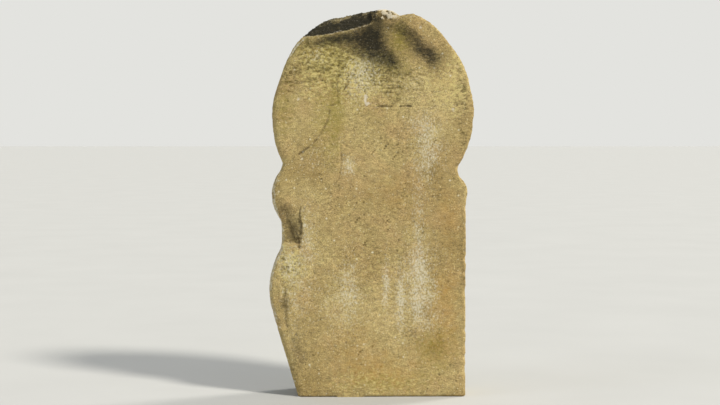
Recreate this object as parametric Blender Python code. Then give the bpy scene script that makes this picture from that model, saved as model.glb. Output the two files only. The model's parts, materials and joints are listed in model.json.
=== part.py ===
"""A weathered sandstone grave marker: a round disc head on a thick slab, cut off flat at the ground.

The stone faces -Y, with its width along X and its height along Z. The origin is under the middle of its foot.
"""

import math
import random
from dataclasses import dataclass

import bmesh
import bpy
from mathutils import Matrix, Vector, noise

# Driving dimensions, in metres
THICKNESS = 0.160
HEAD_RADIUS = 0.273
HEAD_HEIGHT = 0.772
HEAD_SHIFT = 0.005
NECK_HALF_WIDTH = 0.2325
FOOT_LEFT = 0.198
ARRIS_WEAR_LEFT = 0.016
ARRIS_WEAR_RIGHT = 0.008
ARRIS_WEAR_BACK = 0.022

# Lobes that wear and breaks have left down the two sides: the swell past the neck, the height and the radius
SHOULDER_LEFT_SWELL = 0.036
SHOULDER_LEFT_HEIGHT = 0.548
SHOULDER_LEFT_RADIUS = 0.103
HOLLOW_DEPTH = 0.027
HIP_LEFT_SWELL = 0.0445
HIP_LEFT_HEIGHT = 0.291
HIP_LEFT_RADIUS = 0.199
SHOULDER_RIGHT_SWELL = 0.028
SHOULDER_RIGHT_HEIGHT = 0.559
SHOULDER_RIGHT_RADIUS = 0.046
SIDE_SETBACK = 0.004
LOBE_BLEND = 0.010
FOOT_TANGENT_ANGLE = math.radians(17.0)

# The break across the crown's left half, and the knob and the dip beside it
BREAK_LEFT_ANGLE = math.radians(132.5)
BREAK_RIGHT_ANGLE = math.radians(86.3)
BREAK_DEPTH = 0.0275
BREAK_SLOPE = math.radians(38.0)
BREAK_SAG = 0.006
BREAK_RUNOUT = 0.026
BREAK_ROUGHNESS = 0.0022
BREAK_ROUGH_SPAN = 0.045
BREAK_COLUMNS = 14
BREAK_ROWS = 8
KNOB_ANGLE = math.radians(82.5)
KNOB_HALF_WIDTH = 0.019
DIP_ANGLE = math.radians(74.5)
DIP_HALF_WIDTH = 0.010

# The scoop out of the left arris, in the hollow between shoulder and hip. Its floor deepens down to a ledge,
# a lobe of stone stands in its upper right, and a crack runs down its right wall
SCOOP_LEDGE = 0.414
SCOOP_WIDTH = 0.050
SCOOP_LENGTH = 0.108
SCOOP_DEPTH = 0.021
SCOOP_ROUGHNESS = 0.0030
SCOOP_ROUGH_SPAN = 0.021
SCOOP_COLUMNS = 11
SCOOP_ROWS = 14
LOBE_SHARE = 0.55
LIP_STEP = 0.14
SPLIT_WIDTH = 0.0045
SPLIT_DEPTH = 0.0040
CRACK_WIDTH = 0.0038
CRACK_DEPTH = 0.0110

# The soft groove that parts a rolled band from the face, low down on the left
BAND_WIDTH = 0.030
BAND_GROOVE_WIDTH = 0.017
BAND_GROOVE_DEPTH = 0.0028
BAND_COURSE = ((1.10, 1.05), (0.91, 1.25), (0.80, 1.05), (0.62, 0.85), (0.45, 0.85))

# The uneven weathered faces
FACE_SWELL = 0.0040
FACE_SWELL_SPAN = 0.300
FACE_RIPPLE = 0.0012
FACE_RIPPLE_SPAN = 0.085
BACK_SWELL = 0.0085
BACK_SWELL_SPAN = 0.180
SIDE_SWELL = 0.0035
SIDE_SWELL_SPAN = 0.120

# Carved lines and weathered marks
LINE_WIDTH = 0.0060
LINE_DEPTH = 0.0035
STROKE_LENGTH = 0.0100
STROKE_DEPTH = 0.0016
PIT_RADIUS = 0.0036
PIT_COUNT = 26
CHIP_RADIUS = 0.0085
CHIP_SPACING = 0.037
CROWN_CHIPS = 9

# Spacing of the mesh
OUTLINE_STEP = 0.019
FRONT_STEP = 0.028
BACK_STEP = 0.042
ARRIS_STEPS = 3
SIDE_STEPS = 4
SWEEP_STEP = 0.016

SANDSTONE_COLOUR = (0.41, 0.33, 0.14, 1.0)
SANDSTONE_ROUGHNESS = 0.93
SHARP_ANGLE = math.radians(32.0)
FLAT = 1e-5
FRONT = -THICKNESS / 2
BACK = THICKNESS / 2
SHOULDER_LEFT_REACH = NECK_HALF_WIDTH + SHOULDER_LEFT_SWELL
HIP_LEFT_REACH = NECK_HALF_WIDTH + HIP_LEFT_SWELL
SHOULDER_RIGHT_REACH = NECK_HALF_WIDTH + SHOULDER_RIGHT_SWELL
HOLLOW_LEFT = SHOULDER_LEFT_REACH - HOLLOW_DEPTH
SIDE_RIGHT = SHOULDER_RIGHT_REACH - SIDE_SETBACK


@dataclass(frozen=True)
class Disc:
    """A round lobe of the outline, seen from the front."""

    x: float
    z: float
    radius: float

    def reach(self, height):
        """Half of the disc's width at a height, or None above and below it."""
        rise = height - self.z
        if abs(rise) >= self.radius:
            return None
        return math.sqrt(self.radius**2 - rise**2)

    def point(self, angle, radius=None):
        """The point at an angle from +X, on the rim or at a radius of its own."""
        radius = self.radius if radius is None else radius
        return Vector((self.x + radius * math.cos(angle), self.z + radius * math.sin(angle)))


@dataclass(frozen=True)
class RimWear:
    """A rise of the head's rim, or a loss where it is below nought, round an angle from +X."""

    angle: float
    rise: float
    spread: float

    def at(self, angle):
        """What this wear adds to the radius at an angle in degrees."""
        return self.rise * math.exp(-0.5 * ((angle - self.angle) / self.spread) ** 2)


HEAD = Disc(HEAD_SHIFT, HEAD_HEIGHT, HEAD_RADIUS)
SHOULDER_LEFT = Disc(SHOULDER_LEFT_RADIUS - SHOULDER_LEFT_REACH, SHOULDER_LEFT_HEIGHT, SHOULDER_LEFT_RADIUS)
HIP_LEFT = Disc(HIP_LEFT_RADIUS - HIP_LEFT_REACH, HIP_LEFT_HEIGHT, HIP_LEFT_RADIUS)
SHOULDER_RIGHT = Disc(
    SHOULDER_RIGHT_REACH - SHOULDER_RIGHT_RADIUS, SHOULDER_RIGHT_HEIGHT, SHOULDER_RIGHT_RADIUS
)

HEAD_WEAR = (
    RimWear(205.0, 0.0057, 7.0),
    RimWear(161.0, -0.0065, 8.5),
    RimWear(137.0, 0.0048, 5.0),
    RimWear(119.0, 0.0065, 6.0),
    RimWear(101.0, -0.0030, 6.0),
    RimWear(83.0, 0.0040, 3.5),
    RimWear(74.0, -0.0080, 2.5),
    RimWear(68.0, 0.0040, 3.0),
    RimWear(60.0, 0.0125, 10.5),
    RimWear(29.0, 0.0022, 6.0),
    RimWear(14.0, -0.0025, 5.0),
)


def clear_scene():
    """Removes whatever the file holds."""
    for obj in list(bpy.data.objects):
        bpy.data.objects.remove(obj, do_unlink=True)


def sandstone():
    """Ochre sandstone, dull and without any sheen."""
    material = bpy.data.materials.new("sandstone")
    material.use_nodes = True
    shader = material.node_tree.nodes["Principled BSDF"]
    shader.inputs["Base Color"].default_value = SANDSTONE_COLOUR
    shader.inputs["Roughness"].default_value = SANDSTONE_ROUGHNESS
    shader.inputs["Metallic"].default_value = 0.0
    return material


def blended_max(first, second, blend):
    """The greater of two lengths, with a fillet where they cross."""
    near = max(blend - abs(first - second), 0.0) / blend
    return max(first, second) + near * near * blend / 4


def left_reach(height):
    """How far the stone reaches to the left of its middle, at a height up to the head's middle."""
    tangent = HIP_LEFT.z - HIP_LEFT.radius * math.sin(FOOT_TANGENT_ANGLE)
    if height < tangent:
        share = height / tangent
        return FOOT_LEFT + (HIP_LEFT.reach(tangent) - HIP_LEFT.x - FOOT_LEFT) * share
    reach = HOLLOW_LEFT if height < SHOULDER_LEFT.z else NECK_HALF_WIDTH
    for lobe in (HIP_LEFT, SHOULDER_LEFT, HEAD):
        half = lobe.reach(height)
        if half is not None:
            reach = blended_max(reach, half - lobe.x, LOBE_BLEND)
    return reach


def right_reach(height):
    """How far the stone reaches to the right of its middle, at a height up to the head's middle."""
    reach = SIDE_RIGHT if height < SHOULDER_RIGHT.z else NECK_HALF_WIDTH
    for lobe in (SHOULDER_RIGHT, HEAD):
        half = lobe.reach(height)
        if half is not None:
            reach = blended_max(reach, half + lobe.x, LOBE_BLEND)
    return reach


def worn(point):
    """Moves a point of the outline in or out along the head's radius, by the rim's wear there."""
    arm = point - Vector((HEAD.x, HEAD.z))
    angle = math.degrees(math.atan2(arm.y, arm.x)) % 360.0
    return point + arm.normalized() * sum(wear.at(angle) for wear in HEAD_WEAR)


def evenly_spaced(points, step):
    """The same line with points a step apart, its ends kept."""
    lengths = [0.0]
    for first, second in zip(points, points[1:]):
        lengths.append(lengths[-1] + (second - first).length)
    count = max(2, round(lengths[-1] / step))
    spaced = []
    at = 0
    for index in range(count + 1):
        target = lengths[-1] * index / count
        while at < len(points) - 2 and lengths[at + 1] < target:
            at += 1
        share = (target - lengths[at]) / (lengths[at + 1] - lengths[at])
        spaced.append(points[at].lerp(points[at + 1], share))
    return spaced


def outline():
    """The stone's outline from its left foot over the head to its right foot, as (x, z) points."""
    fine = OUTLINE_STEP / 8
    rows = max(8, round(HEAD.z / fine))
    heights = [HEAD.z * row / rows for row in range(rows)]
    turns = max(8, round(math.pi * HEAD.radius / fine))
    left = [Vector((-left_reach(height), height)) for height in heights]
    crown = [HEAD.point(math.pi * (1 - turn / turns)) for turn in range(turns + 1)]
    right = [Vector((right_reach(height), height)) for height in reversed(heights)]
    return evenly_spaced([worn(point) for point in left + crown + right], OUTLINE_STEP)


def outward(points):
    """The unit vectors that point out of the stone at each point of its outline."""
    normals = []
    for index in range(len(points)):
        before = points[max(index - 1, 0)]
        after = points[min(index + 1, len(points) - 1)]
        along = (after - before).normalized()
        normals.append(Vector((-along.y, along.x)))
    for end in (0, -1):
        normals[end] = Vector((math.copysign(1.0, normals[end].x), 0.0))
    return normals


def noise_at(x, y, z, span, seed):
    """Smooth noise from -1 to 1, whose hills are about a span apart."""
    return noise.noise(Vector((x, y, z)) / span + Vector((seed, 2.7 * seed, 5.3 * seed)))


def front_face(x, z):
    """Where the weathered front face lies, along Y."""
    swell = FACE_SWELL * noise_at(x, 0.0, z, FACE_SWELL_SPAN, 1.3)
    ripple = FACE_RIPPLE * noise_at(x, 0.0, z, FACE_RIPPLE_SPAN, 4.1)
    return FRONT + swell + ripple


def back_face(x, z):
    """Where the rough-hewn back lies, along Y."""
    return BACK + BACK_SWELL * noise_at(x, 0.0, z, BACK_SWELL_SPAN, 7.9)


def ring_profile(wear_front):
    """Steps round both arrises from front to back: (how far in, share of the way back, offset in Y)."""
    rings = []
    for step in range(ARRIS_STEPS + 1):
        turn = 0.5 * math.pi * step / ARRIS_STEPS
        rings.append((wear_front * (1 - math.sin(turn)), 0.0, wear_front * (1 - math.cos(turn))))
    for step in range(1, SIDE_STEPS):
        share = step / SIDE_STEPS
        rings.append((0.0, share, wear_front * (1 - share) - ARRIS_WEAR_BACK * share))
    for step in range(ARRIS_STEPS + 1):
        turn = 0.5 * math.pi * (1 - step / ARRIS_STEPS)
        rings.append((ARRIS_WEAR_BACK * (1 - math.sin(turn)), 1.0, -ARRIS_WEAR_BACK * (1 - math.cos(turn))))
    return rings


def split_in_grid(mesh, depth, step):
    """Cuts the flat cap that lies at a depth along upright and level planes a step apart."""
    for axis in (0, 2):
        cap = [vert.co[axis] for vert in mesh.verts if abs(vert.co.y - depth) < FLAT]
        cuts = max(2, round((max(cap) - min(cap)) / step))
        normal = Vector((axis == 0, 0.0, axis == 2))
        for cut in range(1, cuts):
            place = normal * (min(cap) + (max(cap) - min(cap)) * cut / cuts)
            faces = [face for face in mesh.faces if all(abs(vert.co.y - depth) < FLAT for vert in face.verts)]
            edges = {edge for face in faces for edge in face.edges}
            verts = {vert for face in faces for vert in face.verts}
            bmesh.ops.bisect_plane(
                mesh, geom=[*faces, *edges, *verts], dist=FLAT, plane_co=place, plane_no=normal
            )


def stone_body():
    """The whole slab before its breaks and carving: outline, rounded arrises and uneven faces."""
    points = outline()
    normals = outward(points)
    mesh = bmesh.new()
    rings = []
    for index, (point, normal) in enumerate(zip(points, normals)):
        share = min(max(0.5 + point.x / (2 * NECK_HALF_WIDTH), 0.0), 1.0)
        wear = ARRIS_WEAR_LEFT + (ARRIS_WEAR_RIGHT - ARRIS_WEAR_LEFT) * share
        column = []
        for inset, back_share, offset in ring_profile(wear):
            place = point - normal * inset
            depth = FRONT + THICKNESS * back_share + offset
            column.append(mesh.verts.new((place.x, depth, max(place.y, 0.0))))
        rings.append(column)
    for first, second in zip(rings, rings[1:]):
        for step in range(len(first) - 1):
            mesh.faces.new((first[step], second[step], second[step + 1], first[step + 1]))
    mesh.faces.new([column[0] for column in reversed(rings)])
    mesh.faces.new([column[-1] for column in rings])
    mesh.faces.new([*rings[0], *reversed(rings[-1])])
    bmesh.ops.recalc_face_normals(mesh, faces=mesh.faces[:])
    split_in_grid(mesh, FRONT, FRONT_STEP)
    split_in_grid(mesh, BACK, BACK_STEP)
    for vert in mesh.verts:
        weather(vert)
    return mesh


def weather(vert):
    """Gives a point of the slab the unevenness of the face or side that it is on."""
    x, y, z = vert.co
    back_share = min(max((y - FRONT) / THICKNESS, 0.0), 1.0)
    front_move = front_face(x, z) - FRONT
    back_move = back_face(x, z) - BACK
    vert.co.y += front_move * (1 - back_share) + back_move * back_share
    side = math.sin(math.pi * back_share)
    arm = Vector((x - HEAD.x, 0.0, max(z - HEAD.z, 0.0)))
    if side > 0.0 and arm.length > 0.0:
        vert.co += arm.normalized() * side * SIDE_SWELL * noise_at(x, y, z, SIDE_SWELL_SPAN, 3.7)


def new_object(name, mesh, location=(0.0, 0.0, 0.0)):
    """Makes an object in the scene from a bmesh."""
    data = bpy.data.meshes.new(name)
    mesh.to_mesh(data)
    mesh.free()
    obj = bpy.data.objects.new(name, data)
    obj.location = location
    bpy.context.scene.collection.objects.link(obj)
    return obj


def as_cutter(obj, cutters):
    """Puts a shape among those that are taken out of the stone."""
    obj.display_type = "WIRE"
    obj.hide_render = True
    bpy.context.scene.collection.objects.unlink(obj)
    cutters.objects.link(obj)


def swept_line(name, path, width, depth, cutters, taper=True):
    """Cuts a V-shaped line along a path of (x, z) points, which follows the uneven front face."""
    points = evenly_spaced(path, SWEEP_STEP)
    mesh = bmesh.new()
    sections = []
    for index, point in enumerate(points):
        before = points[max(index - 1, 0)]
        after = points[min(index + 1, len(points) - 1)]
        along = (after - before).normalized()
        across = Vector((-along.y, along.x)) * width
        fade = 0.4 if taper and index in (0, len(points) - 1) else 1.0
        face = front_face(point.x, point.y)
        sections.append(
            [
                mesh.verts.new((point.x + across.x, face - depth, point.y + across.y)),
                mesh.verts.new((point.x - across.x, face - depth, point.y - across.y)),
                mesh.verts.new((point.x, face + depth * fade, point.y)),
            ]
        )
    for first, second in zip(sections, sections[1:]):
        for side in range(3):
            other = (side + 1) % 3
            mesh.faces.new((first[side], first[other], second[other], second[side]))
    mesh.faces.new(sections[0])
    mesh.faces.new(sections[-1])
    bmesh.ops.recalc_face_normals(mesh, faces=mesh.faces[:])
    as_cutter(new_object(name, mesh), cutters)


def lump(name, place, radii, cutters, fineness=2, tilt=0.0, roughness=0.0):
    """Cuts a rounded hollow: a ball with its own radii along X, Y and Z, tilted in the plane of the face."""
    mesh = bmesh.new()
    bmesh.ops.create_icosphere(mesh, subdivisions=fineness, radius=1.0)
    for vert in mesh.verts:
        swell = noise_at(*vert.co, 0.9, place[0] * 40.0)
        vert.co *= 1.0 + roughness * swell
    stretch = Matrix.Diagonal((*radii, 1.0))
    turn = Matrix.Rotation(tilt, 4, "Y")
    mesh.transform(Matrix.Translation(place) @ turn @ stretch)
    as_cutter(new_object(name, mesh), cutters)


def filled_sheet(mesh, grid):
    """Joins rows of points with faces into one sheet."""
    rows = [[mesh.verts.new(place) for place in line] for line in grid]
    for first, second in zip(rows, rows[1:]):
        for step in range(len(first) - 1):
            mesh.faces.new((first[step], second[step], second[step + 1], first[step + 1]))


def sheet_cut(name, grid, throw, cutters):
    """Cuts away all that lies on one side of an uneven sheet, as far as it is thrown."""
    mesh = bmesh.new()
    filled_sheet(mesh, grid)
    lid = bmesh.ops.extrude_face_region(mesh, geom=mesh.faces[:])
    moved = [part for part in lid["geom"] if isinstance(part, bmesh.types.BMVert)]
    bmesh.ops.translate(mesh, verts=moved, vec=throw)
    bmesh.ops.recalc_face_normals(mesh, faces=mesh.faces[:])
    as_cutter(new_object(name, mesh), cutters)


def break_grid(start, end, along, rise, lift):
    """The uneven sheet that the crown broke along: it sags midway and runs out upward at its right end."""
    chord = (end - start).length
    first = -(HEAD.radius - chord / 2)
    runout = chord - BREAK_RUNOUT
    stops = [first + (runout - first) * column / BREAK_COLUMNS for column in range(BREAK_COLUMNS + 1)]
    stops += [runout + BREAK_RUNOUT * share for share in (0.35, 0.7, 1.0, 1.3)]
    grid = []
    for stop in stops:
        share = min(max(stop / chord, 0.0), 1.0)
        sag = BREAK_SAG * 4 * share * (1 - share)
        climb = 1.25 * max(stop - runout, 0.0) ** 1.5 / BREAK_RUNOUT**0.5
        line = []
        for row in range(BREAK_ROWS + 1):
            place = start + along * stop + rise * (row / BREAK_ROWS - 0.3)
            rough = BREAK_ROUGHNESS * noise_at(*place, BREAK_ROUGH_SPAN, 9.2)
            line.append(place + lift * (rough + climb - sag))
        grid.append(line)
    return grid


def crown_break(cutters):
    """Cuts the crown's left half back along a sheet that rises from a straight line across the front face."""
    start = HEAD.point(BREAK_LEFT_ANGLE)
    end = HEAD.point(BREAK_RIGHT_ANGLE, HEAD.radius - BREAK_DEPTH)
    along = Vector((end.x - start.x, 0.0, end.y - start.y)).normalized()
    upright = Vector((-along.z, 0.0, along.x))
    rise = Vector((0.0, math.cos(BREAK_SLOPE), 0.0)) + upright * math.sin(BREAK_SLOPE)
    lift = along.cross(rise).normalized()
    lift *= math.copysign(1.0, lift.z)
    left, right = (Vector((point.x, FRONT, point.y)) for point in (start, end))
    grid = break_grid(left, right, along, rise * THICKNESS * 1.5, lift)
    sheet_cut("crown_break_cut", grid, lift * HEAD.radius, cutters)


def on_front(point, depth=0.0):
    """A point of the front face, or one a depth behind it."""
    return Vector((point.x, front_face(point.x, point.y) + depth, point.y))


def on_head(across, up):
    """A point of the front seen as (x, z), in shares of the head's radius from its middle."""
    return Vector((HEAD.x + across * HEAD.radius, HEAD.z + up * HEAD.radius))


def crown_knob(cutters):
    """Cuts the broken front of the knob beside the crown's break, and the dip on its other side."""
    knob = HEAD.point(KNOB_ANGLE, HEAD.radius - KNOB_HALF_WIDTH / 3)
    radii = (KNOB_HALF_WIDTH, KNOB_HALF_WIDTH * 0.8, KNOB_HALF_WIDTH * 1.15)
    lump("knob_cut", on_front(knob, -KNOB_HALF_WIDTH * 0.37), radii, cutters, roughness=0.16)
    dip = HEAD.point(DIP_ANGLE, HEAD.radius + DIP_HALF_WIDTH * 0.4)
    radii = (DIP_HALF_WIDTH, DIP_HALF_WIDTH * 3.5, DIP_HALF_WIDTH * 0.8)
    lump("dip_cut", on_front(dip, DIP_HALF_WIDTH), radii, cutters, roughness=0.12)


def in_scoop(across, down):
    """A point of the scoop seen as (x, z), in shares of its width and of its length from the top."""
    return Vector((across * SCOOP_WIDTH - HOLLOW_LEFT, SCOOP_LEDGE + (1 - down) * SCOOP_LENGTH))


def lip(down):
    """Where the lobe's lower left edge crosses the scoop, as a share of its width."""
    return 0.10 + 0.85 * down**1.4


def scoop_depth(across, down):
    """How far the scoop's floor lies behind the face, at shares of its width and its length."""
    floor = SCOOP_DEPTH * down**0.75 * (0.75 + 0.25 * min(max(across, 0.0), 1.0))
    on_lobe = min(max((across - lip(down)) / LIP_STEP, 0.0), 1.0)
    return floor * (1 - LOBE_SHARE * on_lobe)


def left_scoop(cutters):
    """Cuts the scoop out of the left arris, the split along its lobe and the crack down its right wall."""
    grid = []
    for column in range(SCOOP_COLUMNS + 1):
        across = -0.7 + 1.7 * column / SCOOP_COLUMNS
        line = []
        for row in range(SCOOP_ROWS + 1):
            down = row / SCOOP_ROWS
            point = in_scoop(across, down)
            rough = SCOOP_ROUGHNESS * noise_at(point.x, 0.0, point.y, SCOOP_ROUGH_SPAN, 2.6)
            if column == SCOOP_COLUMNS:
                point.x += 1.6 * rough
            line.append(on_front(point, scoop_depth(across, down) + rough * down - FLAT * 100))
        grid.append(line)
    sheet_cut("scoop_cut", grid, Vector((0.0, -THICKNESS / 2, 0.0)), cutters)
    split = [in_scoop(lip(down), down) for down in (0.0, 0.2, 0.4, 0.6, 0.8)]
    crack = ((1.02, 0.06), (0.95, 0.30), (1.04, 0.46), (1.04, 0.66), (0.90, 0.82), (0.94, 1.06))
    swept_line("scoop_split_cut", split, SPLIT_WIDTH, SPLIT_DEPTH, cutters)
    swept_line("scoop_crack_cut", [in_scoop(*place) for place in crack], CRACK_WIDTH, CRACK_DEPTH, cutters)


def left_band(cutters):
    """Cuts the wide soft groove that keeps a band's width from the left edge, below the hip."""
    path = []
    for height_share, width_share in BAND_COURSE:
        height = HIP_LEFT.z * height_share
        path.append(Vector((BAND_WIDTH * width_share - left_reach(height), height)))
    swept_line("left_band_cut", path, BAND_GROOVE_WIDTH, BAND_GROOVE_DEPTH, cutters)


def side_chip(name, side, edge, height, dice, cutters):
    """Cuts one chip of a random size out of the arris at an edge."""
    radius = CHIP_RADIUS * dice.uniform(0.6, 1.3)
    place = on_front(Vector((side * (edge + radius * 0.15), height)), radius * dice.uniform(0.2, 1.2))
    radii = (radius, radius * dice.uniform(0.9, 2.2), radius * dice.uniform(0.7, 1.7))
    lump(name, place, radii, cutters, fineness=1, tilt=dice.uniform(-0.6, 0.6))


def chipped_edges(cutters):
    """Cuts small chips out of the front arris, more of them down the right side."""
    dice = random.Random(17)
    steps = round(HEAD.z / CHIP_SPACING)
    for step in range(2, steps):
        height = HEAD.z * (step + dice.uniform(-0.3, 0.3)) / steps
        if dice.random() < 0.85:
            side_chip(f"chip_right_{step:02d}_cut", 1, right_reach(height), height, dice, cutters)
        if dice.random() < 0.45:
            side_chip(f"chip_left_{step:02d}_cut", -1, left_reach(height), height, dice, cutters)
    for turn in range(CROWN_CHIPS):
        angle = math.radians(6.0 + 76.0 * turn / CROWN_CHIPS + dice.uniform(-3.0, 3.0))
        radius = CHIP_RADIUS * dice.uniform(0.5, 1.0)
        rim = worn(HEAD.point(angle)) + Vector((math.cos(angle), math.sin(angle))) * radius * 0.25
        place = on_front(rim, radius * dice.uniform(0.2, 1.2))
        lump(f"chip_crown_{turn}_cut", place, (radius, radius * 1.4, radius * 0.9), cutters, fineness=1)


def worn_carving(cutters):
    """Cuts the shallow lines that are left of the carving on the head."""
    ring = Disc(*on_head(-1.051, 0.132), 0.634 * HEAD.radius)
    turns = [math.radians(-11.0 - 51.0 * step / 14) for step in range(15)]
    courses = {
        "ring": ([ring.point(turn) for turn in turns], 1.0, 1.0),
        "upright": ([on_head(-0.364, 0.407), on_head(-0.357, 0.110)], 1.0, 0.8),
        "tick": ([on_head(-0.429, 0.060), on_head(-0.355, 0.075)], 0.6, 0.6),
        "stem": ([on_head(-0.330, -0.304), on_head(-0.315, -0.458), on_head(-0.337, -0.663)], 1.0, 0.7),
        "stem_foot": ([on_head(-0.337, -0.668), on_head(-0.399, -0.725)], 0.8, 0.6),
        "level_inner": ([on_head(0.037, 0.055), on_head(0.183, 0.057)], 0.8, 1.0),
        "level_outer": ([on_head(0.266, 0.055), on_head(0.379, 0.057)], 0.8, 1.0),
        "gouge": ([on_head(-0.071, 0.158), on_head(-0.066, 0.088)], 0.8, 1.0),
    }
    for name, (path, width_share, depth_share) in courses.items():
        swept_line(f"{name}_line_cut", path, LINE_WIDTH * width_share, LINE_DEPTH * depth_share, cutters)


def lost_inscription(cutters):
    """Cuts rows of short plain strokes where an inscription has all but gone."""
    for row, up in enumerate((0.227, 0.190, 0.139)):
        for column in range(3):
            start = on_head(0.022, up) + Vector((column * STROKE_LENGTH * 1.6, 0.0))
            line = [start, start + Vector((STROKE_LENGTH, STROKE_LENGTH * 0.1))]
            name = f"stroke_{row}_{column}_cut"
            swept_line(name, line, LINE_WIDTH * 0.4, STROKE_DEPTH, cutters, taper=False)


def pits(cutters):
    """Cuts the larger pits that the weather has opened in the face."""
    dice = random.Random(5)
    top = HEAD.z + HEAD.radius * 0.72
    for index in range(PIT_COUNT):
        place = Vector((dice.uniform(-0.75, 0.85) * NECK_HALF_WIDTH, dice.uniform(0.07, 1.0) * top))
        radius = PIT_RADIUS * dice.uniform(0.7, 1.3)
        radii = (radius, radius * 0.8, radius * dice.uniform(0.8, 1.5))
        lump(f"pit_{index:02d}_cut", on_front(place), radii, cutters, fineness=1)


def carved(body, cutters):
    """The mesh of the body with every cutter taken out of it."""
    cut = body.modifiers.new("losses and carving", "BOOLEAN")
    cut.operation = "DIFFERENCE"
    cut.solver = "EXACT"
    cut.operand_type = "COLLECTION"
    cut.collection = cutters
    evaluated = body.evaluated_get(bpy.context.evaluated_depsgraph_get())
    mesh = bpy.data.meshes.new_from_object(evaluated)
    body.modifiers.remove(cut)
    return mesh


def settled(mesh):
    """Moves the mesh so that the origin is under the middle of its box."""
    lows = [min(vert.co[axis] for vert in mesh.vertices) for axis in range(3)]
    highs = [max(vert.co[axis] for vert in mesh.vertices) for axis in range(3)]
    shift = Vector((-(lows[0] + highs[0]) / 2, -(lows[1] + highs[1]) / 2, -lows[2]))
    mesh.transform(Matrix.Translation(shift))
    return mesh


def headstone():
    """Models the stone: the weathered slab, less its breaks, chips, pits and carved lines."""
    body = new_object("headstone", stone_body())
    cutters = bpy.data.collections.new("cutters")
    bpy.context.scene.collection.children.link(cutters)
    crown_break(cutters)
    crown_knob(cutters)
    left_scoop(cutters)
    left_band(cutters)
    chipped_edges(cutters)
    worn_carving(cutters)
    lost_inscription(cutters)
    pits(cutters)
    body.data = settled(carved(body, cutters))
    body.data.materials.clear()
    body.data.materials.append(sandstone())
    body.data.shade_smooth()
    body.data.set_sharp_from_angle(angle=SHARP_ANGLE)


def main():
    """Builds the grave marker in an empty scene."""
    clear_scene()
    headstone()


main()
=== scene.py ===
"""A weathered sandstone grave marker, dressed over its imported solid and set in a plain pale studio.

The stone faces -Y, its width runs along X and its height along Z, and the middle of its foot is the
origin. Places on its faces are given in millimetres: x to the right of the middle as seen from the front,
and z above the ground.
"""

import json
import logging
import math
from collections.abc import Callable
from dataclasses import dataclass, field, replace
from enum import Enum

import bpy
import numpy as np
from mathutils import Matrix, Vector, noise

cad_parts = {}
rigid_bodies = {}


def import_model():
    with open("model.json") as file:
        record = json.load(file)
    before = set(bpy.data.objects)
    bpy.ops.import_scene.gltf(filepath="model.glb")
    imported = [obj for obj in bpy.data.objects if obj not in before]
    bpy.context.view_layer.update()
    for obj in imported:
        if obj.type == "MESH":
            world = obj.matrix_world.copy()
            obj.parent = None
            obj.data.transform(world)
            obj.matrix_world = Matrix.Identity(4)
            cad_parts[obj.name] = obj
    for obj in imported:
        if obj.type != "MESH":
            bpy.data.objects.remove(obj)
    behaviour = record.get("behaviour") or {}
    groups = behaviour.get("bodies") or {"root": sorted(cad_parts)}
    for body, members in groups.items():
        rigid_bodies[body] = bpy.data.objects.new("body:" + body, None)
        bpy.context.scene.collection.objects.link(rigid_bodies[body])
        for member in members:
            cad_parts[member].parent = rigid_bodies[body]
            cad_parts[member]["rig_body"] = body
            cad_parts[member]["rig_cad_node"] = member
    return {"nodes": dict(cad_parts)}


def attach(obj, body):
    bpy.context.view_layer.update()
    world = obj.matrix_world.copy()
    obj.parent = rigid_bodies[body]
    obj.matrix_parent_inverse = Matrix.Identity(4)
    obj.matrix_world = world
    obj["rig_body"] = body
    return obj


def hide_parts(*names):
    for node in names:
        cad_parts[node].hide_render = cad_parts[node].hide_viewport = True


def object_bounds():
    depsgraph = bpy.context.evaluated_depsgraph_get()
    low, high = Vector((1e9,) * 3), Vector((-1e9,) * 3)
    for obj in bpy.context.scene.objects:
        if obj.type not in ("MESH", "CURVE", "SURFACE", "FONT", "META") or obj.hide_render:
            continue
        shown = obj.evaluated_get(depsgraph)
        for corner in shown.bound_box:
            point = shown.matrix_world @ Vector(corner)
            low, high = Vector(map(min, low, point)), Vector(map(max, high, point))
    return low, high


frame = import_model()
CAD_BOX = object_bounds()

LOG = logging.getLogger("grave_marker")
MM = 0.001
MM_IN_METRE = 1000.0

# The curve from sRGB to linear light: straight near black, and a power of the raised value above that
SRGB_KNEE = 0.04045
SRGB_SLOPE = 12.92
SRGB_RAISE = 0.055
SRGB_POWER = 2.4

# Sockets of a Mix node that blends colours
MIX_FACTOR = 0
MIX_BELOW = 6
MIX_ABOVE = 7
MIX_RESULT = 2


class Stain(Enum):
    """What the weather has left on the stone, and the painted shade, shadow and light, each kept as an
    attribute of the mesh.
    """

    # Black crust, and painted cast shadows of foliage on the head
    CRUST_AND_SHADOW = "black_crust_and_painted_shadow"
    BLOOM = "pale_lichen_bloom"
    ALGAE = "green_algae"
    OCHRE = "iron_ochre"
    # Brown grime, and painted shade and shadow in the scoop, its crack, the carving, down the edges and by
    # the foot
    GRIME_AND_SHADE = "brown_grime_and_painted_shade"
    # Cream lichen, and a painted highlight along the scoop's ledge
    LICHEN = "cream_lichen"
    MOSS = "dark_moss"
    # Fresh stone, and a painted highlight along the break's arris
    FRESH = "fresh_break"
    # Painted shade in the pits and the open pores
    PORE_SHADE = "painted_pore_shade"
    # Painted light, paler where more light falls
    PAINTED_LIGHT = "painted_paler_light"
    HEWN = "rough_hewn"


def linear(hex_colour: str) -> tuple[float, float, float, float]:
    """Turns an sRGB hex colour into the linear colour that shader sockets hold.

    Args:
        hex_colour: The colour as "#rrggbb".

    Returns:
        Red, green, blue and an alpha of one.
    """
    channels = []
    for start in (1, 3, 5):
        value = int(hex_colour[start : start + 2], 16) / 255
        raised = ((value + SRGB_RAISE) / (1.0 + SRGB_RAISE)) ** SRGB_POWER
        channels.append(value / SRGB_SLOPE if value <= SRGB_KNEE else raised)
    return (*channels, 1.0)


def per_metre(size_mm: float) -> float:
    """The scale of a pattern on Object coordinates whose lumps are this many millimetres apart."""
    return MM_IN_METRE / size_mm


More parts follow.
